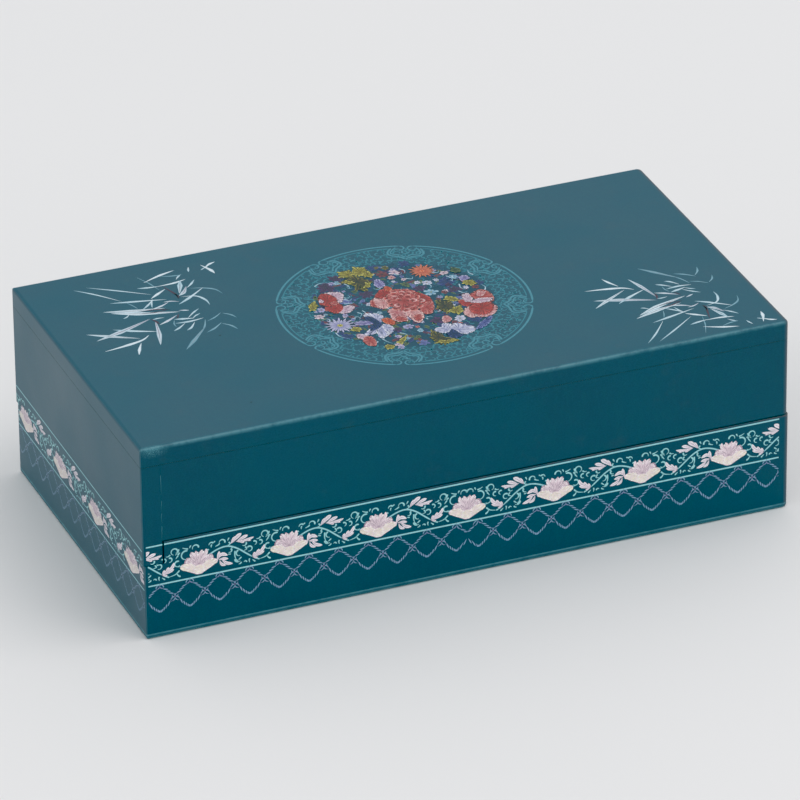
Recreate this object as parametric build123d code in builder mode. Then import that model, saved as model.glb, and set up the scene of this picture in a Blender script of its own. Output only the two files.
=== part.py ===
# A lacquered puzzle box whose lid slides to the left along the base.
# Two loose pins in the lid drop behind a hidden batten and lock it shut.
# Sizes are in millimetres. X runs along the box, Y from front to back, Z is up.
# The origin is the middle of the underside of the base.
from build123d import *
import os

# Outside of the box
box_length = 270.0
box_width = 146.0
box_height = 83.0
seam_height = 41.5
lid_drawn_out = 0.6

# Boards
wall_thickness = 8.0
top_thickness = 8.0
bottom_thickness = 6.0
bottom_rabbet = 3.0
hook_depth = 9.5

# Rounded arrises
left_corner_radius = 0.8
right_corner_radius = 2.4
foot_radius = 1.2
top_radius = 1.5
seam_radius = 0.4
lid_seam_radius = 0.3
hook_edge_radius = 0.15
joint_softening = 0.05

# Clearances
seam_gap = 0.4
hook_clearance = 0.2
end_clearance = 0.1
glue_gap = 0.05
panel_gap = 0.15
slide_clearance = 0.25
tongue_clearance = 0.2

# Runners of the lid and their grooves in the long walls
runner_thickness = 5.0
runner_lap = 16.0
runner_lift = 0.5
tongue_depth = 3.5
tongue_height = 3.5
tongue_rise = 1.5
groove_spare_depth = 0.5
runner_end_clearance = 0.4

# Lock: pins, their bushes and block in the lid, and the batten in the base
pin_radius = 3.0
pin_head_radius = 5.0
pin_head_height = 3.0
pin_head_chamfer = 0.4
pin_tip_rounding = 1.5
pin_drop = 8.0
pin_spacing = 80.0
pin_recess = 0.3
pin_running_clearance = 0.08
bush_radius = 5.5
bush_height = 8.0
bush_mouth_chamfer = 0.4
lock_block_thickness = 16.0
lock_block_lift = 0.5
lock_play = 0.8
batten_top_width = 3.0
batten_foot_height = 6.0
batten_top_gap = 0.3

# Screws under the runners that stop the open lid
lid_travel = 170.0
screw_head_radius = 2.2
screw_head_height = 1.8
screw_shank_radius = 1.0
screw_depth = 7.0
screw_head_rounding = 1.2
stop_clearance = 0.3

# Linings
floor_felt_thickness = 1.5
lid_lining_thickness = 1.0
lining_margin = 0.5

# Dowels hidden in the joints
dowel_radius = 2.0
dowel_cover = 3.0
dowel_depth = 12.0
base_dowel_rise = 12.0
base_dowel_drop = 5.5
lid_dowel_margin = 8.0
top_dowel_cover = 3.0
top_dowel_depth = 10.0
top_dowel_count = 4
top_dowel_end_margin = 33.0

# Places worked out from the sizes above, first of the base
base_left = -box_length / 2
base_right = box_length / 2
front = -box_width / 2
back = box_width / 2
inner_left = base_left + wall_thickness
inner_right = base_right - wall_thickness
inner_back = back - wall_thickness
hook_line = seam_height - hook_depth
floor_level = bottom_thickness + floor_felt_thickness

# Then of the lid, which is drawn a little to the left as it rests
lid_left = base_left - lid_drawn_out
lid_right = base_right - lid_drawn_out
lid_inner_left = lid_left + wall_thickness
lid_inner_right = lid_right - wall_thickness
rail_bottom = seam_height + seam_gap
rail_top = box_height - top_thickness

# Then of the lock
pin_x = lid_inner_right - lock_block_thickness / 2
pin_places = {"front": (pin_x, -pin_spacing / 2), "rear": (pin_x, pin_spacing / 2)}
lock_block_left = lid_inner_right - lock_block_thickness
lock_block_bottom = seam_height + lock_block_lift
pin_bottom = lock_block_bottom + pin_recess
bush_top = lock_block_bottom + bush_height
pin_head_bottom = bush_top + pin_drop
batten_right = pin_x - pin_radius - lock_play
batten_top = seam_height - batten_top_gap
batten_shoulder = batten_top - pin_drop
batten_left = batten_right - batten_top_width - pin_drop
batten_bottom = batten_shoulder - batten_foot_height

# Then of the runners and their stops
runner_bottom = hook_line + runner_lift
runner_top = rail_bottom + runner_lap
runner_right = batten_left - lid_drawn_out - runner_end_clearance
tongue_bottom = runner_bottom + tongue_rise
tongue_top = tongue_bottom + tongue_height
screw_x = inner_left + lid_travel + screw_head_radius + stop_clearance
screw_y = inner_back - (slide_clearance + runner_thickness) / 2

# And of the dowels
base_dowel_heights = [base_dowel_rise, hook_line - base_dowel_drop]
lid_dowel_heights = [rail_bottom + lid_dowel_margin, rail_top - lid_dowel_margin]
wall_middle = wall_thickness / 2
top_dowel_start = base_left + top_dowel_end_margin
top_dowel_spacing = -2 * top_dowel_start / (top_dowel_count - 1)
top_dowel_x = [top_dowel_start + step * top_dowel_spacing for step in range(top_dowel_count)]

FRONT = -1
BACK = 1


def outward(side):
    """The axis that points out of the box at its front or back."""
    return Axis((0, 0, 0), (0, side, 0))


def block(x_ends, y_ends, z_ends, mode=Mode.ADD):
    """A block between two X, two Y and two Z coordinates, in the part being built."""
    x_low, x_high = sorted(x_ends)
    y_low, y_high = sorted(y_ends)
    z_low, z_high = sorted(z_ends)
    middle = ((x_low + x_high) / 2, (y_low + y_high) / 2, (z_low + z_high) / 2)
    with Locations(middle):
        Box(x_high - x_low, y_high - y_low, z_high - z_low, mode=mode)


def rod(start, direction, radius, length, mode=Mode.ADD):
    """A round rod that starts at a point and runs in a direction, in the part being built."""
    low_end = (Align.CENTER, Align.CENTER, Align.MIN)
    with Locations(Plane(origin=start, z_dir=direction)):
        Cylinder(radius, length, align=low_end, mode=mode)


def base_corner_rods(radius, mode=Mode.ADD):
    """The dowels, or their holes, that join the end walls of the base to its long walls."""
    length = wall_thickness - dowel_cover + dowel_depth
    for side in (FRONT, BACK):
        for x in (base_left + wall_middle, base_right - wall_middle):
            for z in base_dowel_heights:
                start = (x, side * (back - dowel_cover), z)
                rod(start, (0, -side, 0), radius, length, mode)


def lid_corner_rods(radius, mode=Mode.ADD):
    """The dowels, or their holes, that join the end boards of the lid to its long rails."""
    length = wall_thickness - dowel_cover + dowel_depth
    for side in (FRONT, BACK):
        for z in lid_dowel_heights:
            left_start = (lid_left + dowel_cover, side * (back - wall_middle), z)
            rod(left_start, (1, 0, 0), radius, length, mode)
            right_start = (lid_right - wall_middle, side * (back - dowel_cover), z)
            rod(right_start, (0, -side, 0), radius, length, mode)


def top_panel_rods(radius, mode=Mode.ADD):
    """The dowels, or their holes, that join the top panel to the long rails."""
    length = top_thickness - top_dowel_cover + top_dowel_depth
    for side in (FRONT, BACK):
        for x in top_dowel_x:
            start = (x, side * (back - wall_middle), box_height - top_dowel_cover)
            rod(start, (0, 0, -1), radius, length, mode)


def round_left_corners(left, right, heights):
    """Trims the part being built to a block whose upright left corners are rounded."""
    with BuildPart() as prism:
        block((left, right), (front, back), heights)
        fillet(prism.edges().filter_by(Axis.Z).group_by(Axis.X)[0], left_corner_radius)
    add(prism.part, mode=Mode.INTERSECT)


def bottom_panel_block(gap, mode=Mode.ADD):
    """The bottom panel, or with no gap the rabbet that holds it."""
    reach_x = inner_right + bottom_rabbet - gap
    reach_y = inner_back + bottom_rabbet - gap
    block((-reach_x, reach_x), (-reach_y, reach_y), (0, bottom_thickness), mode)


# Rounded outside of the base, to which its boards are trimmed
with BuildPart() as base_form:
    block((base_left, base_right), (front, back), (0, seam_height))
    fillet(base_form.edges().filter_by(Axis.Z).group_by(Axis.X)[-1], right_corner_radius)
    fillet(base_form.faces().sort_by(Axis.Z)[0].edges(), foot_radius)
    fillet(base_form.faces().sort_by(Axis.Z)[-1].edges(), seam_radius)
    round_left_corners(base_left, base_right, (0, seam_height))

# Rounded outside of the lid, to which its boards are trimmed
with BuildPart() as lid_form:
    block((lid_left, lid_right), (front, back), (hook_line, box_height))
    fillet(lid_form.edges().filter_by(Axis.Z).group_by(Axis.X)[-1], right_corner_radius)
    fillet(lid_form.faces().sort_by(Axis.Z)[-1].edges(), top_radius)
    round_left_corners(lid_left, lid_right, (hook_line, box_height))


def base_long_board(side):
    """A long wall of the base, with the groove that a runner slides in."""
    groove_right = runner_right + lid_drawn_out + runner_end_clearance
    groove_floor = side * (inner_back + tongue_depth + groove_spare_depth)
    groove_heights = (tongue_bottom - tongue_clearance, tongue_top + tongue_clearance)
    with BuildPart() as board:
        block((base_left, base_right), (side * inner_back, side * back), (0, seam_height))
        add(base_form.part, mode=Mode.INTERSECT)
        block(
            (base_left, inner_left + end_clearance),
            (side * inner_back, side * back),
            (hook_line, seam_height),
            Mode.SUBTRACT,
        )
        block((inner_left, groove_right), (side * inner_back, groove_floor), groove_heights, Mode.SUBTRACT)
        bottom_panel_block(0, Mode.SUBTRACT)
        base_corner_rods(dowel_radius + glue_gap, Mode.SUBTRACT)
    return board


def base_end_board(x_ends, top):
    """An end wall of the base, between the long walls."""
    with BuildPart() as board:
        block(x_ends, (-inner_back, inner_back), (0, top))
        add(base_form.part, mode=Mode.INTERSECT)
        if top < seam_height:
            cross_edges = board.edges().filter_by(Axis.Y)
            fillet(cross_edges.group_by(Axis.Z)[-1].sort_by(Axis.X)[0], seam_radius)
        bottom_panel_block(0, Mode.SUBTRACT)
        base_corner_rods(dowel_radius + glue_gap, Mode.SUBTRACT)
    return board


def lid_long_rail(side):
    """A long rail of the lid, covered at its left end by the hooked end board."""
    with BuildPart() as rail:
        block((lid_inner_left, lid_right), (side * inner_back, side * back), (rail_bottom, rail_top))
        add(lid_form.part, mode=Mode.INTERSECT)
        long_edges = rail.edges().filter_by(Axis.X)
        fillet(long_edges.group_by(Axis.Z)[0].sort_by(outward(side))[-1], lid_seam_radius)
        chamfer(long_edges.group_by(Axis.Z)[-1].sort_by(outward(side))[-1], joint_softening)
        left_edges = rail.edges().filter_by(Axis.Z).group_by(Axis.X)[0]
        chamfer(left_edges.sort_by(outward(side))[-1], joint_softening)
        lid_corner_rods(dowel_radius + glue_gap, Mode.SUBTRACT)
        top_panel_rods(dowel_radius + glue_gap, Mode.SUBTRACT)
    return rail


def lid_runner(side):
    """A runner glued inside a long rail, whose tongue points outwards below the seam."""
    profile_plane = Plane(origin=(lid_inner_left, 0, 0), x_dir=(0, 1, 0), z_dir=(1, 0, 0))
    outer = side * inner_back
    hanging = side * (inner_back - slide_clearance)
    inner = side * (inner_back - runner_thickness)
    tongue = side * (inner_back + tongue_depth)
    with BuildPart() as runner:
        with BuildSketch(profile_plane):
            with BuildLine():
                Polyline(
                    (outer, runner_top),
                    (outer, rail_bottom),
                    (hanging, rail_bottom),
                    (hanging, tongue_top),
                    (tongue, tongue_top),
                    (tongue, tongue_bottom),
                    (hanging, tongue_bottom),
                    (hanging, runner_bottom),
                    (inner, runner_bottom),
                    (inner, runner_top),
                    close=True,
                )
            make_face()
        extrude(amount=runner_right - lid_inner_left)
        screw_start = (screw_x, side * screw_y, runner_bottom)
        rod(screw_start, (0, 0, 1), screw_shank_radius + glue_gap, screw_depth + glue_gap, Mode.SUBTRACT)
    return runner


def turned(centre, outline):
    """A piece turned about an upright axis, from its outline of radius and height."""
    profile_plane = Plane(origin=centre, x_dir=(1, 0, 0), z_dir=(0, -1, 0))
    with BuildPart() as piece:
        with BuildSketch(profile_plane):
            with BuildLine():
                Polyline(*outline, close=True)
            make_face()
        revolve(axis=Axis(centre, (0, 0, 1)))
    return piece


def stop_screw(side):
    """A round-headed screw driven up into a runner, whose head meets the left wall."""
    outline = [
        (0, -screw_head_height),
        (screw_head_radius, -screw_head_height),
        (screw_head_radius, 0),
        (screw_shank_radius, 0),
        (screw_shank_radius, screw_depth),
        (0, screw_depth),
    ]
    screw = turned((screw_x, side * screw_y, runner_bottom), outline)
    with screw:
        fillet(screw.edges().filter_by(GeomType.CIRCLE).sort_by(Axis.Z)[0], screw_head_rounding)
    return screw


def lock_pin(place):
    """A loose steel pin with a head that stops it from falling out of its bush."""
    head_top = pin_head_bottom + pin_head_height
    outline = [
        (0, pin_bottom),
        (pin_radius, pin_bottom),
        (pin_radius, pin_head_bottom),
        (pin_head_radius, pin_head_bottom),
        (pin_head_radius, head_top),
        (0, head_top),
    ]
    pin = turned((place[0], place[1], 0), outline)
    with pin:
        fillet(pin.edges().filter_by(GeomType.CIRCLE).sort_by(Axis.Z)[0], pin_tip_rounding)
        chamfer(pin.edges().filter_by(GeomType.CIRCLE).sort_by(Axis.Z)[-1], pin_head_chamfer)
    return pin


def pin_bush(place):
    """A brass bush in the mouth of a bore of the lock block."""
    with BuildPart() as bush:
        with BuildSketch(Plane.XY.offset(lock_block_bottom)):
            with Locations(place):
                Circle(bush_radius - glue_gap)
                Circle(pin_radius + pin_running_clearance, mode=Mode.SUBTRACT)
        extrude(amount=bush_height)
        mouth = bush.faces().sort_by(Axis.Z)[0].edges().sort_by(SortBy.RADIUS)[0]
        chamfer(mouth, bush_mouth_chamfer)
    return bush


def write_piece(builder, name):
    """Label a finished piece and write it to its own file."""
    builder.part.label = name
    export_step(builder.part, f"parts/{name}.step")


# Base: five boards, the felt on its floor, and the batten of the lock
base_front_board = base_long_board(FRONT)
base_back_board = base_long_board(BACK)
base_left_board = base_end_board((base_left, inner_left), hook_line)
base_right_board = base_end_board((inner_right, base_right), seam_height)

with BuildPart() as base_bottom_panel:
    bottom_panel_block(panel_gap)

with BuildPart() as base_floor_felt:
    block(
        (inner_left + lining_margin, inner_right - lining_margin),
        (lining_margin - inner_back, inner_back - lining_margin),
        (bottom_thickness, floor_level),
    )

with BuildPart() as catch_batten:
    with BuildSketch(Plane(origin=(0, inner_back, 0), x_dir=(1, 0, 0), z_dir=(0, -1, 0))):
        with BuildLine():
            Polyline(
                (batten_right, batten_bottom),
                (batten_right, batten_top),
                (batten_right - batten_top_width, batten_top),
                (batten_left, batten_shoulder),
                (batten_left, batten_bottom),
                close=True,
            )
        make_face()
    extrude(amount=2 * inner_back)

with BuildPart() as base_corner_dowels:
    base_corner_rods(dowel_radius)

# Lid: the top panel, two rails, two end boards and the lining
with BuildPart() as top_panel:
    block((lid_left, lid_right), (front, back), (rail_top, box_height))
    add(lid_form.part, mode=Mode.INTERSECT)
    chamfer(top_panel.faces().sort_by(Axis.Z)[0].edges(), joint_softening)
    top_panel_rods(dowel_radius + glue_gap, Mode.SUBTRACT)

lid_front_rail = lid_long_rail(FRONT)
lid_back_rail = lid_long_rail(BACK)

with BuildPart() as lid_left_board:
    block((lid_left, lid_inner_left), (front, back), (hook_line + hook_clearance, rail_top))
    add(lid_form.part, mode=Mode.INTERSECT)
    outer_edges = lid_left_board.faces().sort_by(Axis.X)[-1].edges().filter_by(Axis.Z)
    chamfer(outer_edges, joint_softening)
    fillet(lid_left_board.faces().sort_by(Axis.Z)[0].edges().sort_by(Axis.X)[:-1], hook_edge_radius)
    chamfer(lid_left_board.faces().sort_by(Axis.Z)[-1].edges().sort_by(Axis.X)[:-1], joint_softening)
    lid_corner_rods(dowel_radius + glue_gap, Mode.SUBTRACT)

with BuildPart() as lid_right_board:
    block((lid_inner_right, lid_right), (-inner_back, inner_back), (rail_bottom, rail_top))
    lid_corner_rods(dowel_radius + glue_gap, Mode.SUBTRACT)

with BuildPart() as lid_lining:
    block(
        (lid_inner_left + lining_margin, lock_block_left - lining_margin),
        (lining_margin - inner_back, inner_back - lining_margin),
        (rail_top - lid_lining_thickness, rail_top),
    )

with BuildPart() as lid_corner_dowels:
    lid_corner_rods(dowel_radius)

with BuildPart() as top_panel_dowels:
    top_panel_rods(dowel_radius)

# Lid: the runners, their stop screws and the lock
lid_front_runner = lid_runner(FRONT)
lid_back_runner = lid_runner(BACK)
front_stop_screw = stop_screw(FRONT)
rear_stop_screw = stop_screw(BACK)

with BuildPart() as lock_block:
    block((lock_block_left, lid_inner_right), (-inner_back, inner_back), (lock_block_bottom, rail_top))
    for pin_place in pin_places.values():
        rod(
            (pin_place[0], pin_place[1], lock_block_bottom),
            (0, 0, 1),
            bush_radius,
            rail_top - lock_block_bottom,
            Mode.SUBTRACT,
        )

front_pin_bush = pin_bush(pin_places["front"])
rear_pin_bush = pin_bush(pin_places["rear"])
front_lock_pin = lock_pin(pin_places["front"])
rear_lock_pin = lock_pin(pin_places["rear"])

pieces = {
    "base_front_board": base_front_board,
    "base_back_board": base_back_board,
    "base_left_board": base_left_board,
    "base_right_board": base_right_board,
    "base_bottom_panel": base_bottom_panel,
    "base_floor_felt": base_floor_felt,
    "base_corner_dowels": base_corner_dowels,
    "catch_batten": catch_batten,
    "top_panel": top_panel,
    "top_panel_dowels": top_panel_dowels,
    "lid_front_rail": lid_front_rail,
    "lid_back_rail": lid_back_rail,
    "lid_left_board": lid_left_board,
    "lid_right_board": lid_right_board,
    "lid_corner_dowels": lid_corner_dowels,
    "lid_lining": lid_lining,
    "lid_front_runner": lid_front_runner,
    "lid_back_runner": lid_back_runner,
    "front_stop_screw": front_stop_screw,
    "rear_stop_screw": rear_stop_screw,
    "lock_block": lock_block,
    "front_pin_bush": front_pin_bush,
    "rear_pin_bush": rear_pin_bush,
    "front_lock_pin": front_lock_pin,
    "rear_lock_pin": rear_lock_pin,
}

os.makedirs("parts", exist_ok=True)
for piece_name, piece in pieces.items():
    write_piece(piece, piece_name)
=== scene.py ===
import math
import random

import bmesh
import bpy
from mathutils import Matrix, Vector


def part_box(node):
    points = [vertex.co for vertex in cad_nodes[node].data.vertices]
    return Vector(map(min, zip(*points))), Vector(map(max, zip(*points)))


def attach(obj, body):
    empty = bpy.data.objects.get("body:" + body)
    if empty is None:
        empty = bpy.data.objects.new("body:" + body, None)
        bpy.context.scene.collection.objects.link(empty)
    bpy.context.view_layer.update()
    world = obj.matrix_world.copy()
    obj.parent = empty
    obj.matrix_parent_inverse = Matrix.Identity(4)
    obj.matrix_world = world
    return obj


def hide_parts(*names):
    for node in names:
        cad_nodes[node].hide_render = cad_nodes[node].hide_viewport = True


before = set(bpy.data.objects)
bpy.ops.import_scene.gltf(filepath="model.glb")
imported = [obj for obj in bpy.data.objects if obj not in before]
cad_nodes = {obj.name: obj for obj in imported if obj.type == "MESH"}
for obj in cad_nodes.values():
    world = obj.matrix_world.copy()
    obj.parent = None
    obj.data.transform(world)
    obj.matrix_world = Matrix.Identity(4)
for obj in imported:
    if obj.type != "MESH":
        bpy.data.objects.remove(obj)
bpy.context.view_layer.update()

# Sizes are in millimetres until a mesh is made
MM = 0.001


def corners(node):
    """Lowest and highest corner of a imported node, in millimetres."""
    low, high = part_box(node)
    return low / MM, high / MM


def stand(name, data):
    """Puts a mesh, a camera or a light into the scene."""
    piece = bpy.data.objects.new(name, data)
    bpy.context.scene.collection.objects.link(piece)
    return piece


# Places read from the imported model
front_y = corners("base_front_board")[0].y
back_y = corners("base_back_board")[1].y
base_left_x = corners("base_left_board")[0].x
base_right_x = corners("base_right_board")[1].x
base_seam_z = corners("base_right_board")[1].z
base_ledge_z = corners("base_left_board")[1].z
lid_left_x = corners("lid_left_board")[0].x
lid_right_x = corners("lid_right_board")[1].x
hook_inner_x = corners("lid_left_board")[1].x
hook_bottom_z = corners("lid_left_board")[0].z
top_z = corners("top_panel")[1].z

# How far the lid stands open, the gap beside the hooked board, and the rounded upright corners
lid_shift = lid_left_x - base_left_x
hook_gap = 0.1
rebate_x = hook_inner_x - lid_shift + hook_gap
left_corner_radius = 0.8
right_corner_radius = 2.4


# Colours: what a screen shows, turned into the light that a shader works with
def seen(red, green, blue):
    """A colour given as it looks on a screen, 0 to 255, as linear light."""
    parts = []
    for value in (red, green, blue):
        share = value / 255
        parts.append(share / 12.92 if share <= 0.04045 else ((share + 0.055) / 1.055) ** 2.4)
    return tuple(parts)


def between(first, second, share):
    """A colour or number part of the way from the first to the second."""
    if isinstance(first, (int, float)):
        return first + (second - first) * share
    return tuple(a + (b - a) * share for a, b in zip(first, second))


LACQUER = seen(4, 60, 86)
LACQUER_DEEP = seen(3, 54, 81)
LACQUER_GREEN = seen(6, 65, 84)
# Pale teal for worn spots, cracks and chips, also used as a painted highlight along the outer edges
PALE_WEAR_AND_HIGHLIGHT = seen(96, 150, 162)
# Grey painted sheen, mixed into the lacquer of the left end faces and into the end prints
SHEEN_GREY = seen(125, 122, 125)
# Pale teal painted sheen that lightens the top face
TOP_SHEEN = seen(84, 150, 164)
BROWN_TINT = seen(96, 66, 62)
DARK_LINE = seen(4, 34, 48)

# Sheen and light of the lid and of the front, so that paint can be given as it looks there
lid_sheen = (0.05, 0.085, 0.085)
lid_light = 1.0
front_sheen = (0.002, 0.035, 0.035)
front_light = 0.76
least_light = 0.002


def under_sheen(colour, sheen, light):
    """Paint that looks as given once the sheen is added and the light has dimmed it."""
    return tuple(max(least_light, (part - added) / light) for part, added in zip(seen(*colour), sheen))


def on_lid_seen(red, green, blue):
    """Paint that looks as given on the lid."""
    return under_sheen((red, green, blue), lid_sheen, lid_light)


def on_front_seen(red, green, blue):
    """Paint that looks as given on the front."""
    return under_sheen((red, green, blue), front_sheen, front_light)


def shades(dark, middle, light):
    """Heart, middle and rim of a petal, given as they look on the lid."""
    return (on_lid_seen(*dark), on_lid_seen(*middle), on_lid_seen(*light))


LINE_WHITE = on_front_seen(152, 202, 208)
CURL_PALE = on_front_seen(152, 204, 206)
CURL_GREEN = on_front_seen(98, 162, 168)
LEAF_WHITE = on_front_seen(218, 218, 222)
LEAF_LILAC = on_front_seen(196, 186, 198)
LEAF_VEIN = on_front_seen(136, 122, 144)
LATTICE_BLUE = on_front_seen(120, 160, 184)
LATTICE_LILAC = on_front_seen(116, 128, 162)
LATTICE_KNOT = on_front_seen(82, 74, 108)
BLOOM_WHITE = on_front_seen(232, 230, 228)
BLOOM_YELLOW = on_front_seen(218, 213, 198)
BLOOM_PINK = on_front_seen(215, 203, 209)
BLOOM_SHADE = on_front_seen(164, 144, 160)

RIM_TEAL = on_lid_seen(94, 150, 166)
SCROLL_TEAL = on_lid_seen(84, 142, 156)
SCROLL_DEEP = on_lid_seen(68, 122, 138)
DISC_GROUND = on_lid_seen(58, 96, 112)
EDGE_DARK = on_lid_seen(50, 56, 80)

BLADE_WHITE = on_lid_seen(228, 240, 246)
BLADE_PALE = on_lid_seen(164, 202, 216)
BLADE_FAINT = on_lid_seen(106, 152, 168)
BLADE_PINK = on_lid_seen(196, 190, 206)
TWIG_BROWN = on_lid_seen(104, 86, 102)
TWIG_DARK = on_lid_seen(80, 70, 88)

# Heart, middle and rim of petals and leaves
BLOOM = (BLOOM_SHADE, BLOOM_PINK, BLOOM_WHITE)
CREAM = (BLOOM_PINK, BLOOM_YELLOW, BLOOM_WHITE)
RED = shades((126, 58, 68), (168, 76, 80), (200, 112, 108))
CORAL = shades((140, 70, 76), (178, 102, 102), (214, 158, 152))
BLUSH = shades((162, 96, 102), (196, 150, 152), (226, 202, 202))
ROSE = shades((172, 112, 116), (210, 172, 172), (238, 218, 214))
SHELL = shades((150, 124, 146), (204, 188, 202), (232, 228, 232))
ORANGE = shades((150, 76, 66), (196, 106, 82), (222, 158, 130))
YELLOW = shades((98, 94, 64), (148, 148, 82), (204, 204, 122))
OLIVE = shades((62, 66, 62), (92, 92, 66), (152, 150, 88))
LILAC = shades((96, 94, 140), (146, 148, 190), (196, 202, 228))
DAISY = shades((86, 92, 148), (146, 154, 202), (222, 226, 240))
SNOW = shades((120, 130, 170), (188, 196, 220), (228, 234, 242))
INDIGO = shades((50, 54, 96), (62, 72, 118), (92, 108, 156))
PERIWINKLE = shades((76, 84, 132), (100, 114, 162), (140, 158, 198))
ICE = shades((70, 124, 156), (120, 168, 192), (186, 214, 226))
DUSK = shades((52, 76, 98), (58, 96, 116), (74, 122, 140))
MOSS = shades((62, 80, 76), (88, 108, 88), (130, 150, 116))
PLUM = shades((62, 50, 78), (80, 62, 98), (112, 88, 128))
MAROON = shades((84, 50, 66), (112, 66, 82), (146, 100, 112))

# The photograph's camera, fitted to the visible edges of the box
picture_pixels = 800
focal_pixels = 7613
sensor_mm = 36
view_azimuth = -21.662
view_elevation = 28.258
view_roll = -0.627
camera_aside = -0.815
camera_above = 35.29
camera_distance = 3023
nearest_metres = 0.2
farthest_metres = 60


def make_camera():
    """Stands the camera where the photograph was taken, aimed without a shift."""
    azimuth = math.radians(view_azimuth)
    elevation = math.radians(view_elevation)
    roll = math.radians(view_roll)
    back = Vector((
        math.sin(azimuth) * math.cos(elevation),
        -math.cos(azimuth) * math.cos(elevation),
        math.sin(elevation),
    ))
    level_right = Vector((math.cos(azimuth), math.sin(azimuth), 0))
    level_up = back.cross(level_right)
    right = level_right * math.cos(roll) + level_up * math.sin(roll)
    up = level_up * math.cos(roll) - level_right * math.sin(roll)
    place = (right * camera_aside + up * camera_above + back * camera_distance) * MM
    data = bpy.data.cameras.new("photo_camera")
    data.sensor_width = sensor_mm
    data.lens = focal_pixels / picture_pixels * sensor_mm
    data.clip_start = nearest_metres
    data.clip_end = farthest_metres
    camera = stand("photo_camera", data)
    turned = Matrix((right, up, back)).transposed().to_4x4()
    camera.matrix_world = Matrix.Translation(place) @ turned
    bpy.context.scene.camera = camera


# Materials
class Look:
    """A material, with short calls that add nodes to it. Coordinates are in millimetres."""

    def __init__(self, name):
        self.material = bpy.data.materials.new(name)
        self.material.use_nodes = True
        self.tree = self.material.node_tree
        self.shader = self.tree.nodes["Principled BSDF"]
        place = self.add("ShaderNodeTexCoord").outputs["Object"]
        self.place = self.vector("SCALE", place, Scale=1 / MM)

    def add(self, kind, inputs=None, **settings):
        """Adds a node. An input that is another node's output is linked, and a plain value is set."""
        node = self.tree.nodes.new(kind)
        for name, value in settings.items():
            setattr(node, name, value)
        for key, value in (inputs or {}).items():
            self.give(node.inputs[key], value)
        return node

    def give(self, socket, value):
        """Links an output to the socket, or sets its plain value."""
        if isinstance(value, bpy.types.NodeSocket):
            self.tree.links.new(value, socket)
        elif hasattr(value, "__len__") and len(value) == 3 and socket.type == "RGBA":
            socket.default_value = (*value, 1)
        else:
            socket.default_value = value

    def vector(self, operation, *parts, **named):
        """One step of arithmetic on vectors."""
        inputs = {**dict(enumerate(parts)), **named}
        node = self.add("ShaderNodeVectorMath", inputs, operation=operation)
        return node.outputs["Value" if operation == "LENGTH" else 0]

    def step(self, operation, first, second=0.0):
        """One step of arithmetic."""
        return self.add("ShaderNodeMath", {0: first, 1: second}, operation=operation).outputs[0]

    def times(self, first, *others):
        """The product of two or more values."""
        for other in others:
            first = self.step("MULTIPLY", first, other)
        return first

    def gap(self, first, second):
        """How far two values lie apart."""
        return self.step("ABSOLUTE", self.step("SUBTRACT", first, second))

    def axes(self):
        """The place along each of the three axes."""
        return self.add("ShaderNodeSeparateXYZ", {0: self.place}).outputs

    def noise(self, size, detail=3, stretch=(1, 1, 1), rough=0.5, shift=0.0):
        """Soft noise whose grains are about size millimetres, longer where stretch is over 1."""
        scale = tuple(1 / (size * part) for part in stretch)
        mapping = {"Vector": self.place, "Scale": scale, "Location": (shift,) * 3}
        mapped = self.add("ShaderNodeMapping", mapping)
        inputs = {"Vector": mapped.outputs[0], "Scale": 1, "Detail": detail, "Roughness": rough}
        return self.add("ShaderNodeTexNoise", inputs).outputs["Fac"]

    def reach(self, value, low, high, start=0.0, end=1.0):
        """Maps value from low..high to start..end, smoothly, and holds it at both ends."""
        inputs = {"Value": value, "From Min": low, "From Max": high, "To Min": start, "To Max": end}
        return self.add("ShaderNodeMapRange", inputs, interpolation_type="SMOOTHSTEP").outputs["Result"]

    def mix(self, share, first, second, blend="MIX"):
        """Mixes two colours."""
        node = self.tree.nodes.new("ShaderNodeMix")
        node.data_type = "RGBA"
        node.blend_type = blend
        self.give(node.inputs["Factor"], share)
        self.give(node.inputs[6], first)
        self.give(node.inputs[7], second)
        return node.outputs[2]

    def shade(self, colour, factor):
        """A colour made darker or lighter by a factor."""
        grey = self.add("ShaderNodeCombineColor", {0: factor, 1: factor, 2: factor}).outputs[0]
        return self.mix(1.0, colour, grey, "MULTIPLY")

    def finish(self, colour, rough=0.5, height=None, depth=0.02, **plain):
        """Joins colour, roughness and relief to the shader. Relief is depth millimetres deep."""
        self.give(self.shader.inputs["Base Color"], colour)
        self.give(self.shader.inputs["Roughness"], rough)
        if height is not None:
            bump = self.add("ShaderNodeBump", {"Height": height, "Strength": 1.0, "Distance": depth * MM})
            self.give(self.shader.inputs["Normal"], bump.outputs[0])
        for name, value in plain.items():
            self.give(self.shader.inputs[name.replace("_", " ")], value)
        return self.material


# The lacquer: its gloss, its worn lines, a painted highlight on its edges, and painted sheen on its left end
# and its top
lacquer_gloss = 1.55
foot_highlight_z = 1.9
seam_line_z = base_seam_z - 0.1
joint_line_z = 75.0
# How much painted sheen the left end and the top get
left_sheen = 0.15
top_sheen = 0.07
brown_end = 0.55
# Pairs of axes that meet in an edge, and how much faster its pale wear and painted highlight end than on a
# long upper edge
edge_wear_and_highlight = ((0, 1, 4.0), (1, 2, 1.0), (0, 2, 2.8))
chip_spot = (lid_left_x + 5.5, front_y, top_z - 1.6)
chip_size = (7.5, 3.0, 3.4)
# Stands for the end of the base or lid that has no worn edge
far_away = 500


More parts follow.
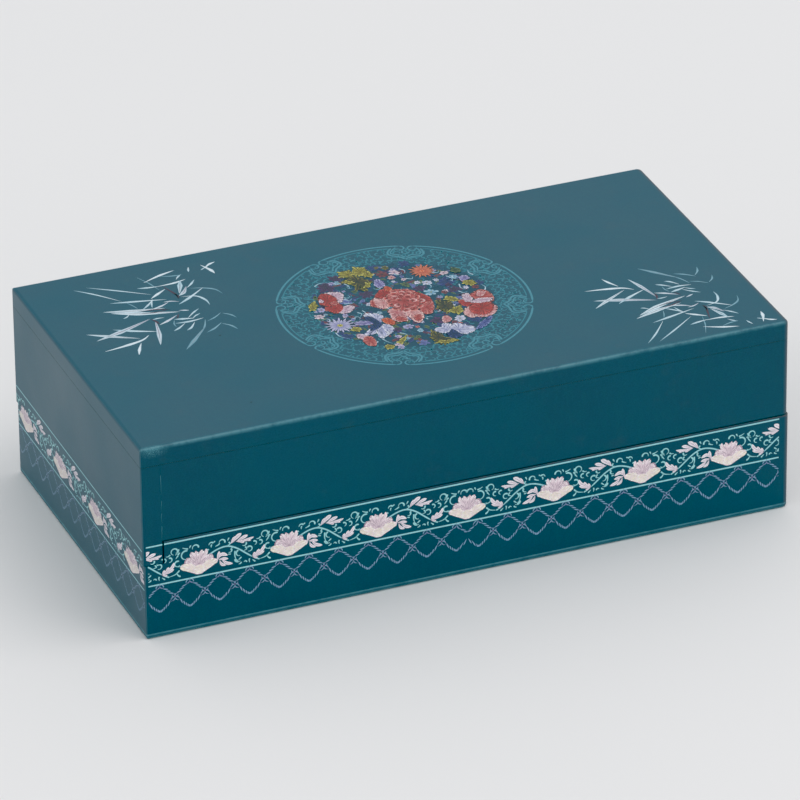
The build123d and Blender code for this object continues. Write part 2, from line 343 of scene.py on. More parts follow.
def near_edges(look, x_ends, z_ends):
    """How far a point is from its nearest outer edge, and from the ends of each axis."""
    gaps = []
    for axis, (low, high) in zip(look.axes(), (x_ends, (front_y, back_y), z_ends)):
        gaps.append(look.step("MINIMUM", look.gap(axis, low), look.gap(axis, high)))
    away = [look.times(look.step("MAXIMUM", gaps[a], gaps[b]), faster) for a, b, faster in edge_wear_and_highlight]
    return look.step("MINIMUM", away[0], look.step("MINIMUM", away[1], away[2])), gaps


def near_spot(look, spot, size):
    """1 at a spot of the box's surface, falling to 0 at size millimetres from it along each axis."""
    away = look.vector("SUBTRACT", look.place, spot)
    return look.reach(look.vector("LENGTH", look.vector("DIVIDE", away, size)), 0.0, 1.0, 1.0, 0.0)


def near_line(look, height, line_z, full, none):
    """1 within full millimetres of a level line, falling to 0 at none millimetres from it."""
    return look.reach(look.gap(height, line_z), full, none, 1.0, 0.0)


def lacquer_ground(look):
    """The teal of the lacquer, with slow drifts and fine grain. Also gives both of them."""
    drift = look.noise(42, detail=2)
    grain = look.noise(0.55, detail=2, rough=0.7)
    brushed = look.noise(1.6, detail=2, stretch=(1, 1, 2.5), shift=7.0)
    colour = look.mix(look.reach(drift, 0.3, 0.7), LACQUER_DEEP, LACQUER)
    colour = look.mix(look.reach(brushed, 0.35, 0.75, 0.0, 0.5), colour, LACQUER_GREEN)
    return look.shade(colour, look.reach(grain, 0.2, 0.8, 0.8, 1.2)), grain, drift


def base_marks(look, colour, outer, patchy):
    """A brown rub along the seam, and a pale line above the foot: wear and a painted highlight on the lower
    rounded edge.
    """
    along, _, height = look.axes()
    rub = look.times(near_line(look, height, seam_line_z, 0.25, 0.8), outer,
                     look.reach(patchy, 0.3, 0.65, 0.15, 0.8), look.reach(along, -60.0, 110.0, 0.4, 0.8))
    colour = look.mix(rub, colour, BROWN_TINT)
    # Painted highlight with wear: a pale line along the lower rounded edge
    foot = look.times(near_line(look, height, foot_highlight_z, 0.1, 0.55),
                      look.reach(patchy, 0.3, 0.6, 0.35, 0.75), outer)
    return look.mix(foot, colour, PALE_WEAR_AND_HIGHLIGHT)


def lid_marks(look, colour, outer, patchy):
    """The dark joint under the top panel, faint brown mottling and one chipped corner."""
    height = look.axes()[2]
    joint = look.times(near_line(look, height, joint_line_z, 0.12, 0.4),
                       look.reach(patchy, 0.3, 0.6, 0.2, 0.75), outer)
    colour = look.mix(joint, colour, DARK_LINE)
    mottle = look.noise(13, detail=4, rough=0.65, shift=21.0)
    colour = look.mix(look.reach(mottle, 0.56, 0.76, 0.0, 0.06), colour, BROWN_TINT)
    fine = look.noise(0.45, detail=3, rough=0.8, shift=11.0)
    chips = look.times(near_spot(look, chip_spot, chip_size), look.reach(fine, 0.46, 0.58), 0.8)
    return look.mix(chips, colour, PALE_WEAR_AND_HIGHLIGHT)


def lacquer(name, x_ends, z_ends, marks):
    """Satin teal lacquer with pale wear and a painted highlight on the outer edges, painted sheen on its left
    end and its top, browner towards its right end, then its own marks.
    """
    look = Look(name)
    colour, grain, drift = lacquer_ground(look)
    edge, gaps = near_edges(look, x_ends, z_ends)
    patchy = look.noise(5, detail=4, rough=0.7, shift=3.0)
    # Pale wear along the outer edges, widened into a painted highlight
    wear_and_highlight = look.times(look.reach(edge, 0.3, 1.8, 1.0, 0.0), look.reach(patchy, 0.3, 0.6, 0.2, 0.55))
    colour = look.mix(wear_and_highlight, colour, PALE_WEAR_AND_HIGHLIGHT)
    along, _, height = look.axes()
    left, right = x_ends
    # Painted sheen: greyer on the left end face
    colour = look.mix(look.reach(along, left + 0.1, left + 0.5, left_sheen, 0.0), colour, SHEEN_GREY)
    # Painted sheen: paler teal on the top face
    colour = look.mix(look.reach(height, top_z - 0.5, top_z - 0.1, 0.0, top_sheen), colour, TOP_SHEEN)
    # Browner in patches towards the right end and over the right end face
    brown = look.times(look.reach(along, right - 2.6, right - 0.3, 0.0, brown_end),
                       look.reach(patchy, 0.25, 0.55, 0.5, 1.0))
    colour = look.mix(brown, colour, BROWN_TINT)
    outer = look.reach(look.step("MINIMUM", gaps[0], gaps[1]), 0.3, 1.2, 1.0, 0.0)
    colour = marks(look, colour, outer, patchy)
    relief = look.step("ADD", grain, look.times(patchy, 0.4))
    rough = look.reach(drift, 0.2, 0.8, 0.36, 0.46)
    return look.finish(colour, rough, relief, depth=0.012, IOR=lacquer_gloss)


def paint():
    """Thin printed paint under the same satin coat. Its colour is the one each stroke carries."""
    look = Look("printed_paint")
    tint = look.add("ShaderNodeAttribute", attribute_name="tint").outputs["Color"]
    grain = look.noise(0.4, detail=2, rough=0.7)
    blotch = look.noise(1.3, detail=3)
    factor = look.times(look.reach(grain, 0.2, 0.8, 0.88, 1.1), look.reach(blotch, 0.3, 0.7, 0.94, 1.05))
    rough = look.reach(grain, 0.2, 0.8, 0.38, 0.46)
    return look.finish(look.shade(tint, factor), rough, grain, depth=0.006, IOR=lacquer_gloss)


def timber(name, dark, light, along, ring=3.2, rough=0.5):
    """Bare wood with growth lines and pores that run along one axis (0, 1 or 2)."""
    look = Look(name)
    ring_stretch = tuple(14 if axis == along else 1 for axis in range(3))
    pore_stretch = tuple(22 if axis == along else 1 for axis in range(3))
    rings = look.noise(ring, detail=5, stretch=ring_stretch, rough=0.55)
    waves = look.step("FRACT", look.times(rings, 5.0))
    grain = look.reach(look.gap(waves, 0.5), 0.05, 0.45)
    pores = look.noise(0.35, detail=2, stretch=pore_stretch, rough=0.6, shift=5.0)
    colour = look.mix(grain, dark, light)
    colour = look.mix(look.reach(pores, 0.52, 0.7, 0.0, 0.45), colour, between(dark, (0, 0, 0), 0.4))
    height = look.step("SUBTRACT", grain, look.reach(pores, 0.5, 0.7))
    return look.finish(colour, look.reach(grain, 0.0, 1.0, rough + 0.08, rough), height, depth=0.03)


def painted_wood():
    """Thinly painted wood of the underside."""
    look = Look("painted_underside")
    rings = look.noise(4.0, detail=5, stretch=(16, 1, 1), rough=0.6)
    rub = look.noise(11, detail=4, rough=0.7, shift=9.0)
    colour = look.mix(look.reach(rings, 0.35, 0.65), seen(16, 44, 54), seen(24, 60, 72))
    colour = look.mix(look.reach(rub, 0.58, 0.8, 0.0, 0.5), colour, seen(92, 96, 90))
    return look.finish(colour, look.reach(rub, 0.3, 0.7, 0.55, 0.7), rings, depth=0.04)


def felt():
    """Short red felt: a matted pile of fine crossing hairs."""
    look = Look("red_felt")
    first = look.noise(0.9, detail=4, stretch=(1, 3, 1), rough=0.8)
    second = look.noise(0.9, detail=4, stretch=(3, 1, 1), rough=0.8, shift=4.0)
    hairs = look.step("MAXIMUM", first, second)
    blotch = look.noise(14, detail=3, shift=2.0)
    colour = look.mix(look.reach(hairs, 0.4, 0.75), seen(84, 14, 22), seen(158, 38, 44))
    colour = look.mix(look.reach(blotch, 0.3, 0.7, 0.0, 0.35), colour, seen(112, 20, 32))
    rough = look.reach(hairs, 0.3, 0.8, 0.98, 0.86)
    return look.finish(colour, rough, hairs, depth=0.25, Sheen_Weight=0.5, Sheen_Roughness=0.5)


def silk(thread=0.55):
    """Red lining silk: a plain weave of threads, with slubs and a soft sheen."""
    look = Look("red_silk")
    turns = 2 * math.pi / thread
    warp, weft = (look.step("SINE", look.times(axis, turns)) for axis in look.axes()[:2])
    weave = look.times(warp, weft)
    slub = look.noise(1.2, detail=2, stretch=(12, 1, 1))
    colour = look.mix(look.reach(weave, -1.0, 1.0), seen(112, 18, 28), seen(168, 40, 48))
    colour = look.mix(look.reach(slub, 0.55, 0.72, 0.0, 0.5), colour, seen(196, 70, 70))
    rough = look.reach(slub, 0.4, 0.7, 0.42, 0.32)
    return look.finish(colour, rough, weave, depth=0.04, Sheen_Weight=0.3, Anisotropic=0.4)


def metal(name, colour, dull, rough):
    """Turned metal with fine marks and a little tarnish."""
    look = Look(name)
    marks = look.noise(0.12, detail=2, stretch=(8, 8, 1), rough=0.6)
    stain = look.noise(2.4, detail=4, rough=0.7, shift=6.0)
    tone = look.mix(look.reach(stain, 0.45, 0.75, 0.0, 0.6), colour, dull)
    height = look.step("ADD", marks, look.times(stain, 0.5))
    gloss = look.reach(marks, 0.3, 0.7, rough, rough + 0.14)
    return look.finish(tone, gloss, height, depth=0.006, Metallic=1.0)


oak = (seen(136, 92, 54), seen(196, 152, 100))
printed = paint()
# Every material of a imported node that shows, with its nodes
cad_looks = {
    lacquer("base_lacquer", (base_left_x, base_right_x), (0, far_away), base_marks):
        ("base_front_board", "base_back_board", "base_left_board", "base_right_board"),
    lacquer("lid_lacquer", (lid_left_x, lid_right_x), (-far_away, top_z), lid_marks):
        ("top_panel", "lid_front_rail", "lid_back_rail", "lid_left_board", "lid_right_board"),
    painted_wood(): ("base_bottom_panel",),
    timber("hardwood_along", *oak, along=0): ("lid_front_runner", "lid_back_runner"),
    timber("hardwood_across", *oak, along=1): ("catch_batten", "lock_block"),
    timber("bamboo", seen(170, 132, 80), seen(216, 184, 124), along=0, ring=0.8):
        ("base_corner_dowels", "lid_corner_dowels", "top_panel_dowels"),
    metal("aged_brass", seen(214, 170, 92), seen(142, 104, 56), 0.26):
        ("front_stop_screw", "rear_stop_screw", "front_pin_bush", "rear_pin_bush"),
    metal("turned_steel", seen(188, 190, 194), seen(138, 138, 140), 0.22):
        ("front_lock_pin", "rear_lock_pin"),
}


def dress_cad_nodes():
    """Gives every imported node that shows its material."""
    for material, names in cad_looks.items():
        for name in names:
            data = cad_nodes[name].data
            data.materials.clear()
            data.materials.append(material)


# Faces of the box: u runs right, v runs up and h runs out, as seen from outside
def on_top(u, v, h):
    return (u, v, top_z + h)


def on_front(u, v, h):
    return (u, front_y - h, v)


def on_back(u, v, h):
    return (-u, back_y + h, v)


def on_base_left(u, v, h):
    return (base_left_x - h, -u, v)


def on_lid_left(u, v, h):
    return (lid_left_x - h, -u, v)


def on_right(u, v, h):
    return (base_right_x + h, u, v)


# Curves
def polar(radius, degrees):
    """A point at a radius and an angle."""
    angle = math.radians(degrees)
    return (radius * math.cos(angle), radius * math.sin(angle))


def arc_points(radius, start, end, count):
    """Points along an arc about the origin."""
    return [polar(radius, start + (end - start) * k / count) for k in range(count + 1)]


def curve_point(a, b, c, d, t):
    """A point of the smooth curve from b to c, whose neighbours are a and d."""
    square = (2 * a - 5 * b + 4 * c - d) * t * t
    cube = (3 * b - a - 3 * c + d) * t * t * t
    return 0.5 * (2 * b + (c - a) * t + square + cube)


def smooth_line(points, count):
    """Evenly counted points on a smooth curve through the given ones."""
    ends = [Vector(p) for p in (points[0], *points, points[-1])]
    spans = len(points) - 1
    line = []
    for k in range(count + 1):
        where = k / count * spans
        span = min(int(where), spans - 1)
        line.append(curve_point(*ends[span:span + 4], where - span))
    return line


def closed_curve(points, fine):
    """A smooth closed line through the points, with fine steps between each two."""
    ring = [Vector(p) for p in points]
    line = []
    for k in range(len(ring)):
        near = [ring[(k + j - 1) % len(ring)] for j in range(4)]
        line += [curve_point(*near, step / fine) for step in range(fine)]
    return line


def sides_of(line):
    """The level direction across a line at each of its points, to its left."""
    sides = []
    for k in range(len(line)):
        ahead = line[min(k + 1, len(line) - 1)] - line[max(k - 1, 0)]
        sides.append(Vector((-ahead.y, ahead.x)).normalized())
    return sides


# How a stroke's width runs from its start, 0, to its end, 1
stroke_shapes = {
    "line": lambda t: min(1, 14 * t + 0.3, 14 * (1 - t) + 0.3),
    "blade": lambda t: min(1, (t / 0.42) ** 0.95) * min(1, ((1 - t) / 0.55) ** 0.9),
    "leaf": lambda t: max(0.0, math.sin(math.pi * t ** 0.8)) ** 0.8,
    "comma": lambda t: min(1, 0.45 + 6 * t) * (1 - 0.72 * t),
    "oval": lambda t: math.sqrt(max(0, 1 - (2 * t - 1) ** 2)),
    "lance": lambda t: max(0.0, math.sin(math.pi * t ** 0.8)) ** 1.3,
    "wedge": lambda t: min(1, 0.25 + 1.1 * t) * math.sqrt(max(0, 1 - t ** 7)),
}
# Places across a stroke, from edge to edge, its least half width, and how many steps it may have
across_stroke = (-1, -0.62, 0, 0.62, 1)
thinnest = 0.01
fewest_steps = 4
most_steps = 64
# Rings of a closed patch, from rim to heart: their share of its size, their height and their tint
patch_rings = ((1, 0, 2), (0.92, 1, 2), (0.66, 1, 1), (0.34, 1, 1))
# How high paint stands: its edges, its body above them, and one layer over another
paint_edge = 0.002
paint_lift = 0.014
paint_step = 0.004


class Brush:
    """Paints strokes and petals, in millimetres from a place of its own on one face of the box."""

    def __init__(self, place=None, level=0, store=None):
        self.place = place or Matrix.Identity(3)
        self.level = level
        self.store = store if store is not None else {"points": [], "faces": [], "tints": []}

    def at(self, u=0.0, v=0.0, turn=0.0, scale=(1, 1), level=0):
        """The same paint from another origin, turned in degrees, scaled, and some layers higher."""
        c, s = math.cos(math.radians(turn)), math.sin(math.radians(turn))
        step = Matrix(((c * scale[0], -s * scale[1], u), (s * scale[0], c * scale[1], v), (0, 0, 1)))
        return Brush(self.place @ step, self.level + level, self.store)

    def patch(self, rows, tints, level=0.0):
        """Adds a patch from rows of (u, v, share of the paint's height). One point closes it to a tip."""
        lift = (self.level + level) * paint_step
        faces = self.store["faces"]
        starts = []
        for row, row_tints in zip(rows, tints):
            starts.append(len(self.store["points"]))
            for (u, v, share), tint in zip(row, row_tints):
                placed = self.place @ Vector((u, v, 1))
                self.store["points"].append((placed.x, placed.y, paint_edge + lift + share * paint_lift))
                self.store["tints"].append(tint)
        for k, (here, there) in enumerate(zip(rows, rows[1:])):
            a, b = starts[k], starts[k + 1]
            for j in range(max(len(here), len(there)) - 1):
                if len(here) == 1:
                    faces.append((a, b + j + 1, b + j))
                elif len(there) == 1:
                    faces.append((a + j, b, a + j + 1))
                else:
                    faces.append((a + j, b + j, b + j + 1, a + j + 1))

    def stroke(self, points, width, tints, shape="line", step=0.6, level=0.0):
        """A stroke along a smooth curve. tints are its start, its end and, if given, its edges."""
        length = sum((Vector(b) - Vector(a)).length for a, b in zip(points, points[1:]))
        count = max(fewest_steps, min(most_steps, math.ceil(length / step)))
        line = smooth_line(points, count)
        rows, colours = [], []
        for k, (here, side) in enumerate(zip(line, sides_of(line))):
            t = k / count
            half = width / 2 * stroke_shapes[shape](t)
            colour = between(tints[0], tints[1], t)
            if half < thinnest:
                rows.append([(here.x, here.y, 0)])
                colours.append([colour])
                continue
            row, row_colours = [], []
            for a in across_stroke:
                spot = here + side * half * a
                row.append((spot.x, spot.y, 0 if abs(a) == 1 else 1))
                row_colours.append(between(colour, tints[2], a * a) if len(tints) > 2 else colour)
            rows.append(row)
            colours.append(row_colours)
        self.patch(rows, colours, level)

    def petal(self, base, length, width, turn, tints, level):
        """A ruffled petal that fans out from its base towards turn, with tints from base to rim."""
        columns = 10
        steps = 6
        waist = 0.45
        ruffle = 0.1
        c, s = math.cos(math.radians(turn)), math.sin(math.radians(turn))
        rows, colours = [], []
        for k in range(steps + 1):
            t = k / steps
            spread = waist + (1 - waist) * math.sin(0.5 * math.pi * min(1, 1.2 * t))
            row, row_colours = [], []
            for j in range(columns + 1):
                a = 2 * j / columns - 1
                rim = 1 - 0.42 * abs(a) ** 2.6 + ruffle * math.cos(3 * math.pi * a) * t
                along = length * t * rim
                aside = width / 2 * spread * a
                row.append((base[0] + along * c - aside * s, base[1] + along * s + aside * c,
                            0 if abs(a) == 1 or k in (0, steps) else 1))
                colour = between(tints[0], tints[1], min(1, t * 1.7))
                if t > 0.55:
                    colour = between(colour, tints[2], (t - 0.55) / 0.45)
                if abs(a) > 0.75:
                    colour = between(colour, tints[2], 0.5)
                row_colours.append(colour)
            rows.append(row)
            colours.append(row_colours)
        self.patch(rows, colours, level)

    def shape(self, points, heart, tints, level=0.0):
        """A smooth closed patch around its heart. tints are its heart, its middle and its rim."""
        rim = closed_curve(points, 4)
        rim.append(rim[0])
        middle = Vector(heart)
        rows, colours = [], []
        for share, height, tint in patch_rings:
            rows.append([(*(middle + (point - middle) * share), height) for point in rim])
            colours.append([tints[tint]] * len(rim))
        rows.append([(*middle, 1)])
        colours.append([tints[0]])
        self.patch(rows, colours, level)

    def fade(self, share, colour):
        """Mixes all paint so far with a colour."""
        self.store["tints"] = [between(tint, colour, share) for tint in self.store["tints"]]

    def dot(self, u, v, size, tint, level=0.0):
        """A round dab of paint."""
        self.stroke([(u - size / 2, v), (u + size / 2, v)], size, (tint, tint), "oval", level=level)

    def hook(self, u, v, radius, start, sweep, width, tints, level=0.0):
        """A curl that starts with a small bulb and thins out along an arc, angles in degrees."""
        count = max(3, math.ceil(abs(sweep) / 40))
        angles = [math.radians(start + sweep * k / count) for k in range(count + 1)]
        line = [(u + radius * math.cos(a), v + radius * math.sin(a)) for a in angles]
        self.stroke(line, width, tints, "comma", step=0.35, level=level)


def corner_drop(u, low, high, low_radius, high_radius):
    """How far a face's rounded upright corner falls back at u."""
    for past, radius in ((low + low_radius - u, low_radius), (u - high + high_radius, high_radius)):
        if past > 0:
            return radius - math.sqrt(max(0.0, radius * radius - min(past, radius) ** 2))
    return 0.0


def paint_piece(name, brush, onto, body, keep=(), drop=None, shift=(0, 0)):
    """Makes a mesh of the brush's paint. keep is a list of boxes (u ends, v ends) that it is cut to."""
    store = brush.store
    shape = bmesh.new()
    layer = shape.verts.layers.float_color.new("tint")
    verts = []
    for point, tint in zip(store["points"], store["tints"]):
        vert = shape.verts.new(point)
        vert[layer] = (*tint, 1)
        verts.append(vert)
    for face in store["faces"]:
        shape.faces.new([verts[k] for k in face])
    shape.normal_update()
    bmesh.ops.reverse_faces(shape, faces=[f for f in shape.faces if f.normal.z < 0])
    cut_to_boxes(shape, keep)
    for vert in shape.verts:
        u, v, h = vert.co
        if drop:
            h -= corner_drop(u, *drop)
        vert.co = Vector(onto(u + shift[0], v + shift[1], h)) * MM
    piece = stand(name, smooth_mesh(name, shape, printed))
    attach(piece, body)


def smooth_mesh(name, shape, material):
    """Turns a worked shape into a smooth mesh of one material."""
    for face in shape.faces:
        face.smooth = True
    mesh = bpy.data.meshes.new(name)
    shape.to_mesh(mesh)
    shape.free()
    mesh.materials.append(material)
    return mesh


def cut_to_boxes(shape, boxes):
    """Cuts flat paint along the boxes' sides and deletes what lies outside all of them."""
    if not boxes:
        return
    for u_ends, v_ends in boxes:
        for axis, ends in ((0, u_ends), (1, v_ends)):
            for end in ends:
                place, normal = Vector((0, 0, 0)), Vector((0, 0, 0))
                place[axis] = end
                normal[axis] = 1
                geometry = shape.verts[:] + shape.edges[:] + shape.faces[:]
                bmesh.ops.bisect_plane(shape, geom=geometry, dist=1e-5, plane_co=place, plane_no=normal)
    outside = []
    for face in shape.faces:
        middle = face.calc_center_median()
        if not any(u[0] <= middle.x <= u[1] and v[0] <= middle.y <= v[1] for u, v in boxes):
            outside.append(face)
    bmesh.ops.delete(shape, geom=outside, context="FACES")
    bmesh.ops.delete(shape, geom=[v for v in shape.verts if not v.link_faces], context="VERTS")


def jitter(source, colour, amount=0.12):
    """A colour a little lighter or darker."""
    factor = 1 + amount * (2 * source.random() - 1)
    return tuple(min(1, part * factor) for part in colour)


# Petals: the gap between their fine strokes, and the layers that each petal takes
streak_gap = 0.66
petal_layers = 2.4
# How far a petal's shadow shows round it, that of the band's pale flowers, and how far out its ground goes
shadow_reach = 0.22
bloom_shadow_reach = 0.16
ground_share = 0.93
# An outline's length for each millimetre of its radius
length_of_turn = 6.28
# Widths of a petal's dark streaks and of those along its rim
dark_streak = 0.34
rim_streak = 0.42
# A leaf's lobes, and the shades that make a petal a leaf
leaf_lobes = 5
leafy = (YELLOW, OLIVE, MOSS)


def petals(brush, outlines, source):
    """Petals from their outlines, each with its heart and shades, one over another."""
    for k, (points, heart, tints) in enumerate(outlines):
        petal_streaks(brush.at(level=petal_layers * k), points, Vector(heart), tints, source)


def petal_streaks(layer, points, heart, tints, source):
    """A petal of fine strokes over a soft shadow and a ground."""
    dark, middle_tint, light = tints
    bloom = tints in (BLOOM, CREAM)
    rim = closed_curve(points, 8)
    length = sum((b - a).length for a, b in zip(rim, rim[1:] + rim[:1]))
    shadow = dark if bloom else between(dark, EDGE_DARK, 0.6)
    grown = 1 + (bloom_shadow_reach if bloom else shadow_reach) / (length / length_of_turn)
    layer.shape([heart + (Vector(p) - heart) * grown for p in points], heart, (shadow,) * 3)
    ground = [heart + (Vector(p) - heart) * ground_share for p in points]
    layer.shape(ground, heart, (dark, middle_tint, middle_tint), 0.5)
    count = max(8, int(length / streak_gap))
    body_streaks(layer, rim, heart, tints, count, source)
    dark_streaks(layer, rim, heart, (shadow, dark), count // 3, source)
    rim_streaks(layer, rim, heart, light, count // 3, source)


def body_streaks(layer, rim, heart, tints, count, source):
    """Wedges of paint from the heart out to the rim, or to the lobes of a leaf."""
    dark, middle_tint, light = tints
    bloom = tints in (BLOOM, CREAM)
    fourth = middle_tint if bloom else between(dark, middle_tint, 0.5)
    for j in range(count):
        reach = rim[int(j * len(rim) / count)] - heart
        share = 0.08 + 0.5 * source.random()
        root = heart + reach * share
        if tints in leafy:
            lobe = (0.5 + 0.5 * math.cos(2 * math.pi * leaf_lobes * j / count)) ** 2
            tip = heart + reach * (0.84 + 0.5 * lobe)
        else:
            tip = heart + reach * (0.9 + 0.19 * source.random())
        bend = (root + tip) / 2 + Vector((-reach.y, reach.x)) * 0.16 * (source.random() - 0.5)
        far = jitter(source, (light, middle_tint, light, fourth)[j % 4], 0.2)
        near = between(dark, middle_tint, 0.6 if bloom else share)
        width = streak_gap * (0.9 + 0.7 * source.random())
        layer.stroke([root, bend, tip], width, (near, far, between(far, middle_tint, 0.5)), "wedge",
                     level=0.9 + 0.35 * (j % 4))


def dark_streaks(layer, rim, heart, tints, count, source):
    """Thin dark lines between the wedges."""
    for j in range(count):
        reach = rim[int((j + source.random()) * len(rim) / count) % len(rim)] - heart
        root = heart + reach * (0.1 + 0.4 * source.random())
        tip = heart + reach * (0.7 + 0.34 * source.random())
        layer.stroke([root, tip], dark_streak, tints, "blade", level=2.3)


def rim_streaks(layer, rim, heart, light, count, source):
    """Short bright lines just inside the rim."""
    for _ in range(count):
        spot = int(source.random() * len(rim))
        line = [heart + (rim[(spot + step) % len(rim)] - heart) * 0.96 for step in (0, 2, 4)]
        layer.stroke(line, rim_streak, (light, jitter(source, light, 0.1)), "lance", level=2.2)


# The flower band between its two lines
band_pitch = 36.97
band_middle = -2.0
band_top_z = 40.35
band_foot_z = 23.2
band_line = 0.7
curl_width = 0.86
tick_width = 0.78
vine_width = 0.68
band_flower_scale = (0.9, 1)
print_overrun = 6
front_print_left = -133.7
front_print_right = 130.5
line_tints = (LINE_WHITE, LINE_WHITE, CURL_GREEN)
curl_tints = (CURL_PALE, CURL_PALE, CURL_GREEN)

# The band's flower: outlines from its middle, right halves only
bloom_crown = [
    (0, 26.2), (3, 26.4), (6, 28.4), (6.7, 29.6), (6.2, 30.8), (5.4, 32), (4, 32), (3.9, 33.7),
    (3.2, 34.4), (2.1, 33.6), (1.4, 34.6), (0, 33.7),
]
bloom_side = [
    (1.4, 25), (4.2, 26), (6.4, 27.1), (8.1, 28.2), (7.8, 29.3), (5.8, 29.8), (3.6, 29.2), (1.6, 27.8),
]
bloom_tip = [
    (3.6, 29.6), (5.8, 29.6), (6.4, 30.6), (5.4, 32), (4, 31.6),
]
bloom_front = [
    (0, 24.5), (1.8, 24.9), (2.7, 26.3), (2, 27.8), (0, 28.4),
]
bloom_veins = (((0.6, 29), (0.7, 32)), ((1.4, 28.9), (1.9, 31.6)), ((2.2, 28.8), (3.2, 31)))
# Leaves that follow a flower, from its middle: tip, bend, foot and width
flower_leaf = [
    ((10.1, 31.5), (11.2, 29.3), (15.2, 27), 1.5), ((10.2, 28.6), (12, 27.9), (15.2, 26.8), 1.3),
    ((12.4, 30), (12.9, 28.8), (14.6, 27.4), 1.4), ((14, 29), (14.4, 28.2), (15.2, 27.2), 1.2),
    ((12.9, 26.4), (13.8, 26.5), (15, 26.9), 0.9),
]
upper_leaf = [
    ((14.3, 35.7), (17.4, 35), (21.4, 35.2), 1.3), ((16.8, 37), (18.8, 36.4), (21.6, 35.2), 1.6),
    ((19.4, 38.3), (21.2, 37.2), (23.9, 34.6), 1.9), ((18.4, 34), (19.4, 34.7), (22, 35.4), 1.2),
    ((21.9, 37.6), (22.9, 36.4), (24, 34.5), 1.2), ((15.6, 34.3), (17, 34.8), (18.8, 35.2), 0.8),
]
lower_leaf = [
    ((28.7, 32.5), (28.9, 30.6), (29.7, 28.4), 1.5), ((25.2, 29.9), (27.6, 30.9), (29.2, 29.2), 1.7),
    ((25, 28.4), (27, 28.8), (29.2, 28.9), 1.4), ((23.2, 25.9), (25.8, 26.7), (27.9, 28.9), 1.5),
    ((26, 25.7), (27.8, 26.6), (28.6, 28.6), 1.3),
]
band_vine = [
    (15.2, 27.2), (18, 29.5), (20, 31.2), (22, 32.6), (24, 33.6), (26, 34), (28, 33.8), (30, 33.2),
    (32, 32.3), (33.2, 31.8),
]
# Curls: centre, radius, start angle and sweep
band_hooks = [
    (1.3, 36, 1.3, 185, -200), (5.2, 33.7, 1.9, 110, -225), (9.9, 36.1, 1.35, 230, -300),
    (8.7, 30.6, 1.2, 120, -260), (11.9, 32.9, 0.95, 70, 215), (14.2, 33, 0.85, 60, 200),
    (16.3, 30.9, 1.1, 40, 260), (18.4, 33.6, 0.9, 150, 170), (27.4, 36.1, 1.2, 200, -200),
    (20.4, 30, 1.3, 70, -170), (21, 27.4, 1.3, 10, -140), (24.4, 31.9, 0.9, 130, 170),
    (31.8, 36, 1, 150, -150), (9.2, 34.6, 0.9, 200, -120), (24.8, 34.9, 0.6, 90, 220),
    (6.9, 26.9, 2.2, 290, 70),
]
# Short strokes: start, bend and end
band_ticks = [
    ((4.3, 36.2), (5.4, 36.5), (6.6, 37.1)), ((3.1, 37.5), (3.5, 37), (3.7, 36.4)),
    ((8.1, 36.9), (8.2, 36.2), (8.3, 35.6)), ((8.4, 34.2), (8.9, 33.6), (9.4, 32.9)),
    ((11.6, 35.2), (12.4, 34.6), (13.4, 34.6)), ((8, 27.6), (9.6, 26.2), (12, 25.6)),
    ((12.2, 25.5), (13.2, 25.9), (14.2, 26.3)), ((14, 24.8), (14.6, 25.4), (15.2, 25.9)),
    ((16.3, 26.6), (16.5, 25.8), (16.3, 24.9)), ((17.4, 25.3), (18, 26), (18.7, 25.6)),
    ((19.6, 25.8), (20.2, 25.2), (20.8, 25.1)), ((18, 32.2), (17.4, 31), (18.6, 30.6)),
    ((24.5, 37.5), (24.9, 36.9), (25.1, 36.3)), ((30.2, 37.2), (30.7, 36.9), (31.1, 36.7)),
    ((28.3, 35.8), (29.2, 35.2), (30.2, 34.9)), ((31.6, 36.1), (31.9, 35.4), (31.8, 34.8)),
    ((32.8, 33.9), (33.6, 34.3), (34.4, 34.4)), ((22.2, 31.2), (22.3, 29), (21.8, 27.3)),
    ((21.8, 27.3), (21, 26.3), (20.2, 26.2)), ((23.9, 30.2), (24.6, 30.3), (25.2, 30.4)),
    ((19.6, 28), (20.4, 27.3), (20.9, 27)), ((22.8, 33.1), (23.6, 32.8), (24, 32)),
    ((7.6, 35), (8.6, 35.2), (9.6, 34.6)), ((6.8, 29.6), (7.6, 29.2), (8.8, 29.3)),
]


def both_sides(points):
    """An outline's right half, from its foot to its head, joined to its mirror image."""
    return points + [(-u, v) for u, v in reversed(points) if abs(u) > 0.01]


def band_flower(brush):
    """A wide open flower in side view, from its middle."""
    source = random.Random(7)
    petals(brush, [(both_sides(bloom_crown), (0, 28.8), BLOOM)], source)
    for side in (-1, 1):
        half = brush.at(scale=(side, 1), level=2.6)
        petals(half, [(bloom_tip, (4, 30.2), BLOOM), (bloom_side, (2, 27.6), CREAM)], source)
        for line in bloom_veins:
            half.stroke(line, 0.36, (BLOOM_SHADE, BLOOM_PINK), "blade", level=4)
    petals(brush.at(level=8), [(both_sides(bloom_front), (0, 27.4), CREAM)], source)


def leaflets(brush, leaves):
    """Pointed leaves, each with a fine rib."""
    for k, (*line, width) in enumerate(leaves):
        level = 3 + k * 0.5
        brush.stroke(line, width * 0.92, (LEAF_WHITE, LEAF_LILAC, LEAF_WHITE), "lance", level=level)
        brush.stroke(line, 0.26, (LEAF_LILAC, LEAF_VEIN), "lance", level=level + 0.3)


